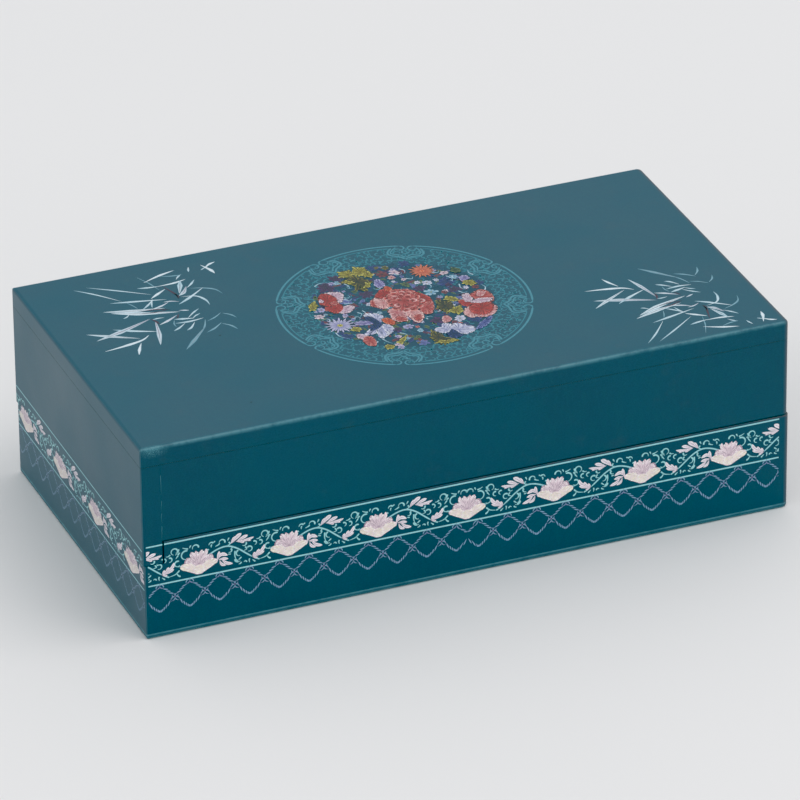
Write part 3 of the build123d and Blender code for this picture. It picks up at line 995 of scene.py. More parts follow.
def band_repeat(brush, flower=True):
    """A flower with the leaves, curls and vine that follow it."""
    for u, v, radius, start, sweep in band_hooks:
        brush.hook(u, v, radius, start, sweep, curl_width, curl_tints)
    for line in band_ticks:
        brush.stroke(line, tick_width, curl_tints, "comma", step=0.35)
    brush.stroke(band_vine, vine_width, line_tints, "line", level=2)
    for leaves in (upper_leaf, flower_leaf, lower_leaf):
        leaflets(brush, leaves)
    if flower:
        band_flower(brush.at(level=6, scale=band_flower_scale))


def band_lines(brush, left, right, width):
    """The two lines of the band. They run past both ends, and the cut makes them square."""
    for v in (band_top_z, band_foot_z):
        line = [(left - print_overrun, v), (0, v), (right + print_overrun, v)]
        brush.stroke(line, width, line_tints, "line", step=6, level=1)


def band(brush, left, right):
    """The band, mirrored about its middle."""
    band_lines(brush, left, right, band_line)
    reach = max(right - band_middle, band_middle - left)
    for side in (-1, 1):
        half = brush.at(band_middle, 0, scale=(side, 1))
        for k in range(math.ceil(reach / band_pitch)):
            band_repeat(half.at(k * band_pitch, 0), flower=k > 0 or side > 0)


# The lattice under the band: its strands cross at one level and turn back at its foot
lattice_middle = -1.9
lattice_pitch = 12.25
lattice_first = 10.83
lattice_mid_z = 16.7
lattice_top_z = 22.8
lattice_foot_z = 11.2
# How far the two lines of a strand part, from a crossing to the band's line and to the foot
swings_up = (0.1, 0.62, 0.62, 0.06, 0.34, 0.06, 0.34, 0.06, 0.34, 0.06, 0.6, 0.6, 0.1, 0.5)
swings_down = (0.1, 0.62, 0.62, 0.06, 0.34, 0.06, 0.34, 0.06, 0.34, 0.06, 0.34, 0.06, 0.3, 0.1)
# Points of a strand from one swing to the next
swing_steps = 3
# At such a swing or a smaller one, the two lines meet
strand_meets = 0.1
# Below such a swing, one dash lies aslant over the strand, this far to each side
rope_swing = 0.4
rope_slant = 0.5
rope_width = 0.5
strand_width = 0.44
knot_size = 0.9
rope_tints = (LATTICE_BLUE, LATTICE_BLUE, LATTICE_LILAC, LATTICE_KNOT)


def swing_at(swings, step):
    """How far a strand's two lines part at one of its points."""
    span, past = divmod(step, swing_steps)
    return between(swings[span], swings[min(span + 1, len(swings) - 1)], past / swing_steps)


def braid(brush, points, swings):
    """A strand of the lattice: two thin lines that part by the given swings, or dashes laid aslant."""
    count = swing_steps * (len(swings) - 1)
    path = smooth_line(points, count)
    sides = sides_of(path)
    wide = [swing_at(swings, k) for k in range(count + 1)]
    meets = [k for k, swing in enumerate(swings) if swing <= strand_meets] + [len(swings) - 1]
    for hand in (-1, 1):
        strand = [here + side * hand * part for here, side, part in zip(path, sides, wide)]
        for k, (low, high) in enumerate(zip(meets, meets[1:])):
            if high - low == 2 and max(swings[low:high + 1]) < rope_swing:
                if hand > 0:
                    first = max(low * swing_steps - 1, 0)
                    last = min(high * swing_steps + 1, count)
                    dash = [path[first] + sides[first] * rope_slant, path[(first + last) // 2],
                            path[last] - sides[last] * rope_slant]
                    brush.stroke(dash, rope_width, rope_tints, "lance", step=0.3, level=(k % 2) / 2)
            elif high > low:
                start_tint = LATTICE_BLUE if (k + hand) % 3 else LATTICE_LILAC
                dash = strand[low * swing_steps:high * swing_steps + 1]
                tints = (start_tint, LATTICE_LILAC)
                brush.stroke(dash, strand_width, tints, "lance", step=0.4, level=(hand + 1) / 2)


def lattice_cross(brush, u):
    """The four strands that leave one crossing, with a faint knot on it."""
    half = lattice_pitch / 2
    start = (0, lattice_mid_z)
    up = [start, (half * 0.5, (lattice_mid_z + lattice_top_z) / 2 + 0.1), (half * 1.06, lattice_top_z + 0.4)]
    down = [start, (half * 0.46, lattice_mid_z - 2.9), (half * 0.8, lattice_foot_z + 0.7),
            (half, lattice_foot_z)]
    for side in (-1, 1):
        brush_side = brush.at(u, 0, scale=(side, 1))
        braid(brush_side, up, swings_up)
        braid(brush_side, down, swings_down)
    brush.dot(u, lattice_mid_z, knot_size, LATTICE_KNOT, level=2)


def lattice(brush, left, right):
    """Crossing braided strands, mirrored about the middle, where they turn back."""
    reach = max(right - lattice_middle, lattice_middle - left)
    inner = lattice_first - lattice_pitch / 2
    for side in (-1, 1):
        row = brush.at(lattice_middle, 0, scale=(side, 1))
        for k in range(math.ceil((reach - lattice_first) / lattice_pitch) + 1):
            lattice_cross(row, lattice_first + k * lattice_pitch)
        braid(row, [(inner, lattice_top_z + 0.4), (inner / 2, 20.4), (0, 18.2)], swings_up[:4:-1])
        braid(row, [(inner, lattice_foot_z), (inner * 0.75, 12.0), (0, 15.2)], swings_down[:4:-1])


def paint_long_side(side_name, onto, mirrored):
    """The band and lattice on a long side. The hooked board's share rides with the lid."""
    flip = -1 if mirrored else 1
    brush = Brush()
    inner = brush.at(scale=(flip, 1))
    band(inner, front_print_left, front_print_right)
    lattice(inner, front_print_left, front_print_right)

    def boxed(left, right, foot, head):
        return (tuple(sorted((left * flip, right * flip))), (foot, head))

    on_base = [boxed(rebate_x, front_print_right, 0, base_seam_z),
               boxed(front_print_left, rebate_x, 0, base_ledge_z)]
    on_lid = [boxed(front_print_left, hook_inner_x - lid_shift, hook_bottom_z, base_seam_z)]
    corners_back = (*sorted((base_left_x * flip, base_right_x * flip)),
                    *(left_corner_radius, right_corner_radius)[::flip])
    paint_piece(f"{side_name}_band", brush, onto, "base", on_base, corners_back)
    paint_piece(f"{side_name}_band_hook", brush, onto, "lid", on_lid, corners_back, (lid_shift * flip, 0))


# The short sides' print: a little larger, slightly turned, and faded towards the lacquer and its grey painted
# sheen
end_scale = 1.09
end_middle_u = -2.2
end_turn = -0.47
end_sink = -1.3
end_half = 72.0
end_margin = 1.5
end_line = 0.55
end_fade = 0.28
end_lattice_fade = 0.25
end_crossings = 7
# The lacquer's teal with the grey painted sheen, which the end prints are faded towards
sheen_tone = between(LACQUER, SHEEN_GREY, 0.4)


def paint_end():
    """The print of a short side."""
    brush = Brush()
    inner = brush.at(end_middle_u, end_sink, turn=end_turn)
    for k in range(-end_crossings, end_crossings + 1):
        lattice_cross(inner, k * lattice_pitch)
    brush.fade(end_lattice_fade, sheen_tone)
    band_lines(inner, -end_half, end_half, end_line)
    for k in range(-2, 3):
        band_repeat(inner.at((k + 0.5) * band_pitch * end_scale, 0, scale=(-end_scale, 1)))
    brush.fade(end_fade, sheen_tone)
    return brush


def paint_ends():
    """Both short sides. On the left one the hooked board's share rides with the lid."""
    left = paint_end()
    whole = (-end_half, end_half)
    rounded = (front_y, back_y, left_corner_radius, left_corner_radius)
    paint_piece("left_band_lower", left, on_base_left, "base", [(whole, (0, base_ledge_z))], rounded)
    paint_piece("left_band_upper", left, on_lid_left, "lid", [(whole, (hook_bottom_z, base_seam_z))], rounded)
    inside = (-end_half + end_margin, end_half - end_margin)
    rounded = (front_y, back_y, right_corner_radius, right_corner_radius)
    paint_piece("right_band", paint_end(), on_right, "base", [(inside, (0, base_seam_z))], rounded)


# The round picture on the lid, and its ring of scrollwork
disc_middle = (1.3, -1.4)
disc_radius = 36.0
rim_radius = 50.3
scroll_radii = (47.0, 44.4, 41.8, 39.2, 36.8)
scroll_gap = 2.6
lobe_count = 8
lobe_first = 22.5
# Where the rim's two lines start and end past an arch, in degrees, and how far apart they lie
outer_start = 3.0
outer_end = 42.0
inner_start = 8.0
inner_end = 37.0
rim_gap = 1.9
# Radius of the curls at the rim's gaps
rim_curl = 1.8
# Half of an arch's width in degrees, and how far in its second line lies
arch_half = 8.4
arch_inset = 1.5
scroll_tints = (SCROLL_TEAL, SCROLL_TEAL, SCROLL_DEEP)
rim_tints = (RIM_TEAL, RIM_TEAL, SCROLL_TEAL)


def scroll_curls(brush, source):
    """Small worm-like curls in five rows."""
    for radius in scroll_radii:
        count = int(2 * math.pi * radius / scroll_gap)
        for k in range(count):
            angle = 360 * (k + 0.6 * source.random()) / count
            where = polar(radius + 0.5 * (source.random() - 0.5), angle)
            size = 0.9 + 0.5 * source.random()
            hand = source.choice((-1, 1))
            start = 360 * source.random()
            brush.hook(*where, size, start, hand * (190 + 80 * source.random()), 1.0, scroll_tints)


def scroll_arch(brush, lobe):
    """One arch of the ring: a double rim that breaks into curls over it."""
    outer = arc_points(rim_radius, lobe + outer_start, lobe + outer_end, 12)
    inner = arc_points(rim_radius - rim_gap, lobe + inner_start, lobe + inner_end, 9)
    brush.stroke(outer, 0.9, rim_tints, level=2)
    brush.stroke(inner, 0.6, scroll_tints, level=2)
    for side in (-1, 1):
        curl_place = polar(rim_radius - rim_curl, lobe + side * outer_start)
        brush.hook(*curl_place, rim_curl, lobe, side * -300, 0.9, rim_tints, level=2)
        for grow, width in ((0.0, 0.9), (arch_inset, 0.65)):
            half = arch_half - grow
            turns = ((48.4, half - 1.4), (45.2, half + 0.7), (42.6 + grow * 0.6, half),
                     (41.0 + grow, half * 0.42), (38.8 + grow, 0))
            line = [polar(radius, lobe + side * turn) for radius, turn in turns]
            brush.stroke(line, width, rim_tints, level=2)
    brush.hook(*polar(45.2, lobe), 1.5, lobe + 60, 260, 0.8, rim_tints, level=2)


def scroll_ring(brush):
    """The ring of fine scrollwork around the picture."""
    scroll_curls(brush, random.Random(2))
    for k in range(lobe_count):
        scroll_arch(brush, lobe_first + 360 / lobe_count * k)


def disc_ground(brush):
    """The dark ground under the flowers, which fades into the lacquer at its rim."""
    rings = 8
    sides = 72
    rows, colours = [], []
    for j in range(rings + 1):
        reach = disc_radius * (1 - j / rings * 0.98)
        rows.append([(*polar(reach, 360 * k / sides), 0 if j == 0 else 0.4) for k in range(sides + 1)])
        colours.append([DISC_GROUND if j else LACQUER] * (sides + 1))
    brush.patch(rows, colours)


def veined_leaf(brush, foot, tip, width, tints, level=0.0):
    """A slightly bent leaf with a light rib."""
    foot, tip = Vector(foot), Vector(tip)
    along = tip - foot
    middle = (foot + tip) / 2 + Vector((-along.y, along.x)) * 0.12
    brush.stroke([foot, middle, tip], width, tints, "leaf", level=level)
    brush.stroke([foot, middle, tip], width * 0.14, (tints[2], tints[1]), "blade", level=level + 0.4)


def daisy(brush, radius, tints, heart, source):
    """Two rows of narrow petals round a small heart."""
    count = 15
    for ring in range(2):
        for k in range(count):
            turn = 360 * (k + 0.5 * ring) / count + 6 * (source.random() - 0.5)
            reach = radius * (1 - 0.28 * ring) * (0.92 + 0.16 * source.random())
            dark, middle, light = (jitter(source, part) for part in tints)
            line = [polar(reach * 0.12, turn), polar(reach, turn)]
            width = radius * 0.28 * 0.58
            brush.stroke(line, width, (dark, light, middle), "leaf", level=ring + 0.1 * (k % 3))
    brush.dot(0, 0, radius * 0.34, heart[1], level=2.5)
    for k in range(6):
        brush.dot(*polar(radius * 0.14, 60 * k), radius * 0.13, heart[2], level=3)


def posy(brush, radius, tints, heart, source, turn=90):
    """A small open flower of loose petals with a dab at its heart."""
    count = 7
    for k in range(count):
        dark, middle, light = (jitter(source, part, 0.2) for part in tints)
        tip = polar(radius * (0.75 + 0.45 * source.random()), turn + 360 * k / count + 24 * source.random())
        width = radius * (0.5 + 0.25 * source.random())
        brush.stroke([(0, 0), tip], width, (dark, light, middle), "wedge", level=0.3 * k)
    brush.dot(0, 0, radius * 0.34, heart[1], level=count * 0.3 + 0.5)


# The large flowers' petals, back to front: outline, heart and shades
peony_petals = [
    ([(-10.8, 3), (-9.6, 6.4), (-6.8, 8.8), (-4, 9.2), (-3.4, 5), (-4.6, -0.6), (-7, -1.6),
      (-9, 0.4)], (-5.2, 3.4), ROSE),
    ([(-10.8, 3), (-9.6, 6.4), (-8.6, 6.8), (-8.8, 4), (-9, 1), (-9.8, 1.2)], (-9.6, 3.6), CORAL),
    ([(-6.8, 9), (-4.2, 12.6), (-2, 14.2), (0.6, 13.2), (1.4, 10.4), (-1, 8), (-4, 6.6)],
      (-2.4, 10.4), RED),
    ([(0.6, 12.6), (4, 11.9), (7.6, 10.6), (9.8, 7.4), (8.4, 4.8), (4.2, 4.8), (1, 8.6)],
      (5, 7.6), CORAL),
    ([(9.4, 7.2), (11.8, 4), (13.2, 0.4), (12.2, -3.6), (8.6, -2.8), (7.6, 2.6)], (10, 1.6), RED),
    ([(12.6, -2.6), (12.2, -6), (10.8, -9.6), (8.2, -12.6), (5.6, -10.4), (6.4, -5.4), (9, -3.2)],
      (8.8, -6.6), CORAL),
    ([(-0.8, -5.8), (2.6, -5.4), (5.4, -8.2), (5.4, -12.4), (3.2, -16.2), (0.8, -17.6), (-0.4, -13.6),
      (-1, -9.4)], (1.8, -7.8), ROSE),
    ([(1.6, -11.4), (4.4, -11.2), (3.8, -14.6), (1.4, -16.8), (0.6, -14)], (2.4, -13.4), CORAL),
    ([(-6.6, -3.6), (-3.4, -2.8), (-0.8, -6.2), (-1.2, -10.2), (-2.2, -14.2), (-5.6, -14),
      (-7.6, -10.8), (-6.6, -7.4)], (-3.6, -6.4), BLUSH),
    ([(-6.2, -11), (-4, -9.4), (-2, -12.4), (-3, -14.4), (-5.4, -13.8)], (-4, -12.2), CORAL),
    ([(-4, 5.6), (-1.6, 9), (1.8, 10.4), (5.8, 9.2), (8.8, 5.8), (9.4, 1), (7.8, -4), (4.6, -7.2),
      (0.8, -7), (-2.2, -4.6), (-4, 0.6)], (2.6, 1.4), CORAL),
]
# Small petals in the middle of the large peony: place and the way they face
peony_core = [
    (-2.6, 3, 60), (-1.8, 6.2, 40), (0.6, 8, 10), (3.6, 8.2, -20), (6.4, 6.6, -50), (7.8, 3.2, -80),
    (7.8, -0.6, -100), (6.4, -3.8, -130), (3.6, -5.8, -170), (0.4, -5.6, 160), (-2, -3, 120),
    (-2.6, 0, 90), (0, 4.2, 30), (2.6, 5.4, -10), (5, 3.6, -50), (5.4, 0.6, -90), (4, -2.4, -140),
    (1.4, -3.2, 170), (-0.4, -0.8, 110), (1.4, 1.8, 20), (3.2, 1, -70),
]
right_peony_petals = [
    ([(22.4, -10.2), (22.4, -6.4), (25, -6.6), (27, -10), (25, -13)], (24.4, -9.6), RED),
    ([(24.8, -8.6), (24.8, -5), (26, -2.2), (28.4, -2), (28.6, -5.4), (27.4, -8.6)],
      (26.6, -6.4), SHELL),
    ([(28.2, -4.2), (31, -1.8), (34.2, -1), (36.4, -4), (36.6, -8.4), (34.6, -12.4), (31.6, -10),
      (29.6, -8.2)], (32.4, -6.6), CORAL),
    ([(30.6, -4.4), (33, -2), (35.2, -3.6), (33.6, -5.6), (31.4, -6.4)], (33, -4.2), BLUSH),
    ([(20.4, -19.4), (20.8, -16), (23, -13.4), (26, -12.8), (25, -17), (24.4, -21.4), (22, -21.8)],
      (23.2, -17.8), ROSE),
    ([(23.2, -20.6), (26, -23.2), (30, -22.8), (32.8, -20.6), (34.6, -16.6), (33, -15.6), (28, -18.4),
      (24.6, -18.6)], (28.6, -19.8), BLUSH),
    ([(23.6, -17.2), (24.2, -13.4), (26.8, -11), (30.4, -10.6), (33.2, -12.2), (34, -15.2),
      (32.2, -19), (29.2, -21.4), (26, -21), (24.2, -19.4)], (28.6, -16), RED),
    ([(26.4, -9.6), (29.8, -7.8), (33, -8.4), (35.6, -9.6), (34, -11.6), (30, -11.6)],
      (30.8, -9.8), SHELL),
]
left_peony_petals = [
    ([(-24.2, 19.6), (-20.6, 19.8), (-17.4, 17.8), (-18.2, 14.2), (-20.4, 10.4), (-22.6, 12.8)],
      (-21.4, 15.6), SHELL),
    ([(-24.8, 3.4), (-22, 6.4), (-18.8, 6.8), (-17.2, 4.6), (-20, 1.4), (-23.2, 1)], (-21, 4), SHELL),
    ([(-28.2, 8.6), (-25, 9.4), (-21.4, 8.6), (-21.4, 5.8), (-24, 2.8), (-26.6, 2.4), (-27.8, 5.2)],
      (-24.6, 6.4), RED),
    ([(-28.8, 13.2), (-27.4, 17.6), (-25, 20), (-22.4, 18.2), (-21.2, 14), (-22.8, 9.6), (-26, 8.4),
      (-28.2, 10.2)], (-25, 13.6), RED),
    ([(-28.6, 14.2), (-27.4, 15.6), (-26.6, 14), (-27.6, 12.6)], (-27.6, 14), SHELL),
    ([(-25.4, 11), (-23, 12), (-21.6, 9.8), (-23.8, 9.2)], (-23.4, 10.6), CORAL),
]
lily_petals = [
    ([(-16.8, -3.6), (-13.6, -2.6), (-10.2, -5.4), (-9.8, -9), (-12, -11.4), (-14.2, -10.2),
      (-14, -6.8)], (-13.4, -8.8), SNOW),
    ([(-23, -8.6), (-20.4, -7.4), (-16.6, -8.4), (-15, -10.4), (-17, -11.6), (-21, -10.6)],
      (-16.6, -10), LILAC),
    ([(-22, -19.6), (-20.6, -17), (-17, -14.2), (-14.2, -13.6), (-14.6, -17), (-18, -19.4)],
      (-15.4, -15.4), SNOW),
    ([(-17, -24.2), (-17.2, -20.4), (-15.4, -15), (-12.8, -14.4), (-11.4, -18), (-13.2, -22.4)],
      (-14.2, -16.4), SNOW),
    ([(-12.6, -22), (-13.4, -17), (-12.4, -13.6), (-10.2, -15), (-9.8, -19)], (-12.2, -16), SNOW),
    ([(-17.4, -6), (-14.8, -5.4), (-13, -9.6), (-13, -13.6), (-16.2, -16.4), (-18.8, -16.2),
      (-15.6, -12)], (-14.8, -11), INDIGO),
]
white_peony_petals = [
    ([(8, -34.6), (7.6, -30), (10, -27.6), (13, -29.4), (13.4, -33.4), (11, -35.2)],
      (10.4, -31.4), INDIGO),
    ([(4.2, -26.6), (6, -24.4), (8, -24.6), (9.6, -22.2), (11.8, -22.8), (12, -25.6), (10.4, -28.4),
      (8, -29.8), (5.6, -29)], (8.8, -27.4), SNOW),
    ([(10.8, -25.6), (14, -23.6), (17.2, -25.8), (19.8, -29.6), (19, -32), (16, -33.8), (13.4, -33),
      (12, -29.6)], (13.2, -29.4), SNOW),
]
yellow_petals = [
    ([(-12.8, 30.8), (-12.2, 34.2), (-9, 35), (-6.8, 32.6), (-7.4, 29.6), (-10.6, 29)],
      (-9.4, 31.6), YELLOW),
    ([(-7.4, 31), (-5.4, 35.6), (-2.4, 35.2), (-1, 31.4), (-3, 29), (-5.8, 29)], (-4, 31.6), YELLOW),
    ([(-4.4, 29), (-1.2, 30.6), (-0.2, 28), (-1.8, 26), (-3.8, 27)], (-2.4, 28.2), YELLOW),
    ([(-13.8, 25.8), (-11, 29), (-7, 28.6), (-4.4, 25.2), (-4.2, 20.6), (-6.8, 18.2), (-9.2, 16),
      (-10.8, 18.2), (-11.2, 22.4)], (-8.2, 24), OLIVE),
    ([(-13.8, 25.6), (-12, 27), (-9.8, 24.4), (-11.4, 23.4)], (-11.8, 25), YELLOW),
    ([(-5.4, 22), (-4, 21.4), (-5.4, 18.2), (-7.6, 18.6), (-6.4, 20)], (-5.8, 20), YELLOW),
]
leaf_patches = [
    ([(12.8, -9), (14, -4.4), (17, -3.6), (19.4, -7), (18.6, -12), (16, -14.4), (13.8, -12.6)],
      (16, -8.4), OLIVE),
    ([(18, -3.4), (19.8, -1.2), (22.4, -3.4), (22.6, -6.2), (20.2, -5.8)], (20.4, -3.8), YELLOW),
    ([(15.8, -13.2), (18.8, -11.2), (21.4, -11), (20.6, -15.2), (18.2, -16.6)], (18.6, -13.4), YELLOW),
    ([(3.4, -26.6), (5.8, -29), (5.6, -33), (8.8, -35.4), (8, -37.4), (4.4, -37.8), (1.4, -36),
      (0.8, -32), (2, -28.4)], (3.6, -32), OLIVE),
    ([(1.2, -36.2), (4.4, -38), (8.2, -37.6), (8.8, -35.6), (5.4, -35.8), (2.6, -34.6)],
      (4.8, -36.6), YELLOW),
    ([(29.6, -23.4), (27, -24.6), (22.6, -27.6), (20.2, -31.6), (24.4, -30.4), (28.2, -26.6)],
      (25, -27.6), PERIWINKLE),
    ([(30, 6.4), (31.4, 8.8), (34, 7.6), (34.4, 4.6), (32, 3.8)], (32.2, 6.2), YELLOW),
    ([(29.6, 9.4), (30.8, 12.6), (33.4, 12.4), (33.8, 9.6), (31.8, 8.8)], (31.8, 10.4), LILAC),
    ([(-34.2, 8.6), (-33.6, 12), (-31.2, 14.6), (-30, 12.6), (-31.4, 9.4), (-33, 8)],
      (-32.4, 11), YELLOW),
    ([(-25.6, -13.2), (-23.6, -11.4), (-21.4, -13.2), (-23.2, -15.4)], (-23.6, -13.4), YELLOW),
    ([(-18.6, -31.4), (-17, -30), (-14.8, -31.8), (-16.4, -33.8), (-18.4, -33.4)], (-17, -32), YELLOW),
    ([(-12.6, -29.6), (-10.4, -27.6), (-7.6, -26.2), (-9.2, -29), (-11.6, -31.4)],
      (-10.4, -29), YELLOW),
    ([(-11.4, -9.6), (-8.6, -9.2), (-6.8, -12.6), (-8.4, -15.4), (-10.8, -13.6)],
      (-9.2, -12.2), ORANGE),
    ([(-0.4, 15.8), (1.2, 16), (2.2, 13.4), (0.6, 11.8), (-0.6, 13.2)], (0.8, 14), ORANGE),
    ([(-25.6, -18.4), (-24, -17.2), (-21.8, -20.2), (-23.2, -22.4), (-25.4, -21)],
      (-23.8, -19.8), SHELL),
    ([(-24.8, -23.8), (-22.6, -20.4), (-20.2, -21.6), (-20.2, -26), (-21.8, -29.2), (-24.2, -27.6)],
      (-22.4, -24.6), CORAL),
    ([(10.2, -21.4), (11.2, -17.4), (13.2, -16.2), (14.4, -19), (12.8, -21.6)], (12.4, -19), BLUSH),
    ([(-3.2, 17), (-2.6, 21), (-0.8, 23.2), (1, 21), (1, 17.6), (-0.8, 15.8)], (-1, 18.6), LILAC),
    ([(29.4, 18.4), (30.8, 20.8), (33, 18.8), (32.4, 16.2), (30.6, 16.4)], (31.2, 18.4), MOSS),
]
# Places, sizes and shades of the small open flowers
small_flowers = [
    (13.4, 14.2, 1.5, SNOW), (16.8, 13, 2, SNOW), (15.4, 4.6, 2.8, ICE), (8.2, 26.2, 2.2, SHELL),
    (5.6, 22.4, 1.6, BLUSH), (20.2, 2.6, 1.6, MAROON), (17.4, -20.6, 2.5, SNOW), (-33, 2.2, 2, SHELL),
    (-30.2, 7, 1.9, LILAC), (-17.4, 6, 1.9, MAROON), (-23.2, -0.8, 1.5, LILAC), (-4, -19, 2.2, LILAC),
    (26.2, 18.2, 1.8, SHELL), (33.2, 2, 1.9, MAROON), (-16, 26.4, 1.7, ICE), (-13, -31.6, 1.6, SHELL),
    (-12.8, -34, 1.5, LILAC), (-12.4, 16.8, 1.5, MOSS), (24, 8, 1.7, PLUM), (29.6, 3.2, 1.3, SNOW),
    (-21.4, -2.8, 1.3, MAROON), (8.6, 14.6, 2.2, MOSS), (3, 26.2, 2.4, MAROON), (6.4, 31.2, 1.8, OLIVE),
    (-8.6, -19.6, 2.2, PLUM), (8.2, -18.6, 2.8, PLUM), (-0.6, -23.8, 1.6, ICE),
    (-3.4, -28.4, 1.5, MOSS),
]
# Places, sizes and shades of dark leafy clumps
dark_clumps = [
    (-21.4, 24.8, 5, PLUM), (-15.2, 30.4, 3.6, PLUM), (-9, 12.8, 3.8, PLUM), (24.2, 10.8, 4.4, INDIGO),
    (24.6, 3.6, 3.4, PLUM), (2.6, 32.8, 3.2, INDIGO), (10.4, 32.6, 3.2, DUSK),
    (14.6, 31.4, 3.4, INDIGO), (25.8, 23.4, 3.6, DUSK), (-28.8, -17.6, 3.4, INDIGO),
    (-30.4, -13.4, 2.4, INDIGO), (36.2, 4.8, 2.4, INDIGO), (12.6, 9.6, 3, PLUM), (-5.6, -24, 3, DUSK),
    (0.4, -20.6, 3, DUSK), (22.8, -23.2, 3.2, INDIGO), (-13.6, 3.2, 3.2, DUSK), (18.4, 9.6, 2.6, DUSK),
    (-3.6, -33.8, 3, PERIWINKLE), (20.6, 14.4, 2.8, DUSK), (16.6, -26.2, 1.6, MAROON),
    (-18.8, 9.8, 2.6, PERIWINKLE), (28.6, 13.6, 2.2, ICE), (-1.6, 27, 2.4, DUSK),
]
# Places, sizes, shades, hearts and grounds of the two daisies
daisies = ((-28.2, -7.8, 6.4, DAISY, YELLOW, INDIGO), (18.9, 23, 5.5, ORANGE, ORANGE, MAROON))
# Curly pale stems
tendrils = [
    [(-13.8, 24.8), (-12.8, 22.4), (-13.2, 19.8)], [(-18.6, 12.6), (-17, 10.4), (-15.6, 11.8)],
    [(-19.8, 9.4), (-17.6, 7.8), (-15.8, 8.6)], [(-18, -0.2), (-16.8, -2), (-18.2, -4)],
    [(-15.6, 0.6), (-15, -1.4), (-16.2, -2.2)], [(26, 15.4), (27.4, 12.6), (26.6, 9.8)],
    [(28.2, 6.8), (27.6, 3.6), (28.8, 1.4)], [(28.4, 14.6), (28, 12.2), (29.6, 11.4)],
    [(36.4, 12), (35.4, 14.4), (36, 16.8)], [(25.6, 1.4), (27, -0.8), (28.8, -0.4)],
    [(35.6, -2), (36.8, 0.6), (36, 3.4)], [(-17.2, -24), (-16.4, -27), (-14.8, -30)],
    [(17, 11.6), (17.4, 9.6), (16.4, 7.8)], [(-9, -22.6), (-7, -25), (-7.6, -28)],
    [(22, 20.6), (24, 19.2), (25, 20.8)], [(11, 28.4), (12.6, 26.2), (11.8, 24)],
    [(20.6, -30.2), (25.2, -28.6), (29.4, -24.8)], [(-25.4, 27), (-22.8, 28.6), (-19.4, 28.2)],
    [(-32, -12.8), (-31.6, -16.4), (-28.8, -19.8)], [(10.6, 19.6), (12.6, 18.2), (13.6, 19.8)],
    [(-20.4, -5), (-21.8, -3.4), (-20.8, -1.6)],
]

# The bouquet's groups of petals, each with the layer that it starts on
bouquet = (
    (10, leaf_patches[:9]), (10, leaf_patches[9:]), (11, yellow_petals), (11, lily_petals),
    (14, white_peony_petals), (12, left_peony_petals), (12, right_peony_petals), (12, peony_petals),
)
# The layer on which the large peony's small middle petals start
peony_heart_layer = 38
# How many small parts fill the picture, how far out they are placed, and their shades
leaf_count = 420
thread_count = 190
posy_count = 64
leaf_reach = 35.0
thread_reach = 34.0
posy_reach = 34.4
leaf_shades = (DUSK, INDIGO, DUSK, PLUM, INDIGO, MAROON, MOSS, PERIWINKLE)
posy_shades = (LILAC, SNOW, CORAL, ICE, PERIWINKLE, OLIVE, SHELL, MAROON)
# A leaf that would reach past this radius points the other way
picture_reach = 35.6
# The leaves of a dark clump, and the degrees from one to the next
clump_leaves = 7
clump_turn = 51.4


def anywhere(source, reach):
    """A place at random within a disc."""
    return polar(reach * math.sqrt(source.random()), 360 * source.random())


def leaf_disc(brush, source):
    """The small dark leaves, curls and clumps behind the bouquet of the round picture."""
    behind = brush.at(level=1)
    for k in range(leaf_count):
        u, v = anywhere(source, leaf_reach)
        size = 2.2 + 2.8 * source.random()
        tip = polar(size, 360 * source.random())
        if math.hypot(u + tip[0], v + tip[1]) > picture_reach:
            tip = (-tip[0], -tip[1])
        tints = leaf_shades[source.randrange(len(leaf_shades))]
        veined_leaf(behind, (u, v), (u + tip[0], v + tip[1]), size * 0.4, tints, level=(k % 10) * 0.35)
    for k in range(thread_count):
        u, v = anywhere(source, thread_reach)
        hand = source.choice((-1, 1))
        thread = (ICE[2], ICE[1]) if k % 5 == 0 else (SCROLL_TEAL, SCROLL_DEEP)
        radius = 0.8 + 0.8 * source.random()
        behind.hook(u, v, radius, 360 * source.random(), hand * 220, 0.6, thread, level=4)
    for u, v, size, tints in dark_clumps:
        clump = brush.at(u, v, level=5)
        for j in range(clump_leaves):
            turn = clump_turn * j + 30 * source.random()
            tone = [jitter(source, part, 0.2) for part in tints]
            tip = polar(size * (0.7 + 0.4 * source.random()), turn)
            veined_leaf(clump, (0, 0), tip, size * 0.5, tone, level=0.4 * j)


def flower_disc(brush, source):
    """The bouquet of the round picture, from its tendrils to the peonies in front."""
    for line in tendrils:
        brush.stroke(line, 0.62, (ICE[2], ICE[1]), "comma", level=9)
    for k in range(posy_count):
        where = anywhere(source, posy_reach)
        size = 0.8 + 0.6 * source.random()
        tints = posy_shades[k % len(posy_shades)]
        posy(brush.at(*where, level=8), size, tints, YELLOW if k % 2 else PLUM, source)
    for k, (u, v, size, tints) in enumerate(small_flowers):
        heart = YELLOW if tints in (SNOW, ICE, LILAC) else PLUM
        posy(brush.at(u, v, level=9), size, tints, heart, source, turn=40 * k)
    for u, v, radius, tints, heart, ground in daisies:
        flower = brush.at(u, v, level=10)
        flower.dot(0, 0, radius * 1.6, ground[0], level=-0.5)
        daisy(flower, radius, tints, heart, source)
    for level, outlines in bouquet:
        petals(brush.at(level=level), outlines, source)
    peony_heart(brush.at(level=peony_heart_layer), source)


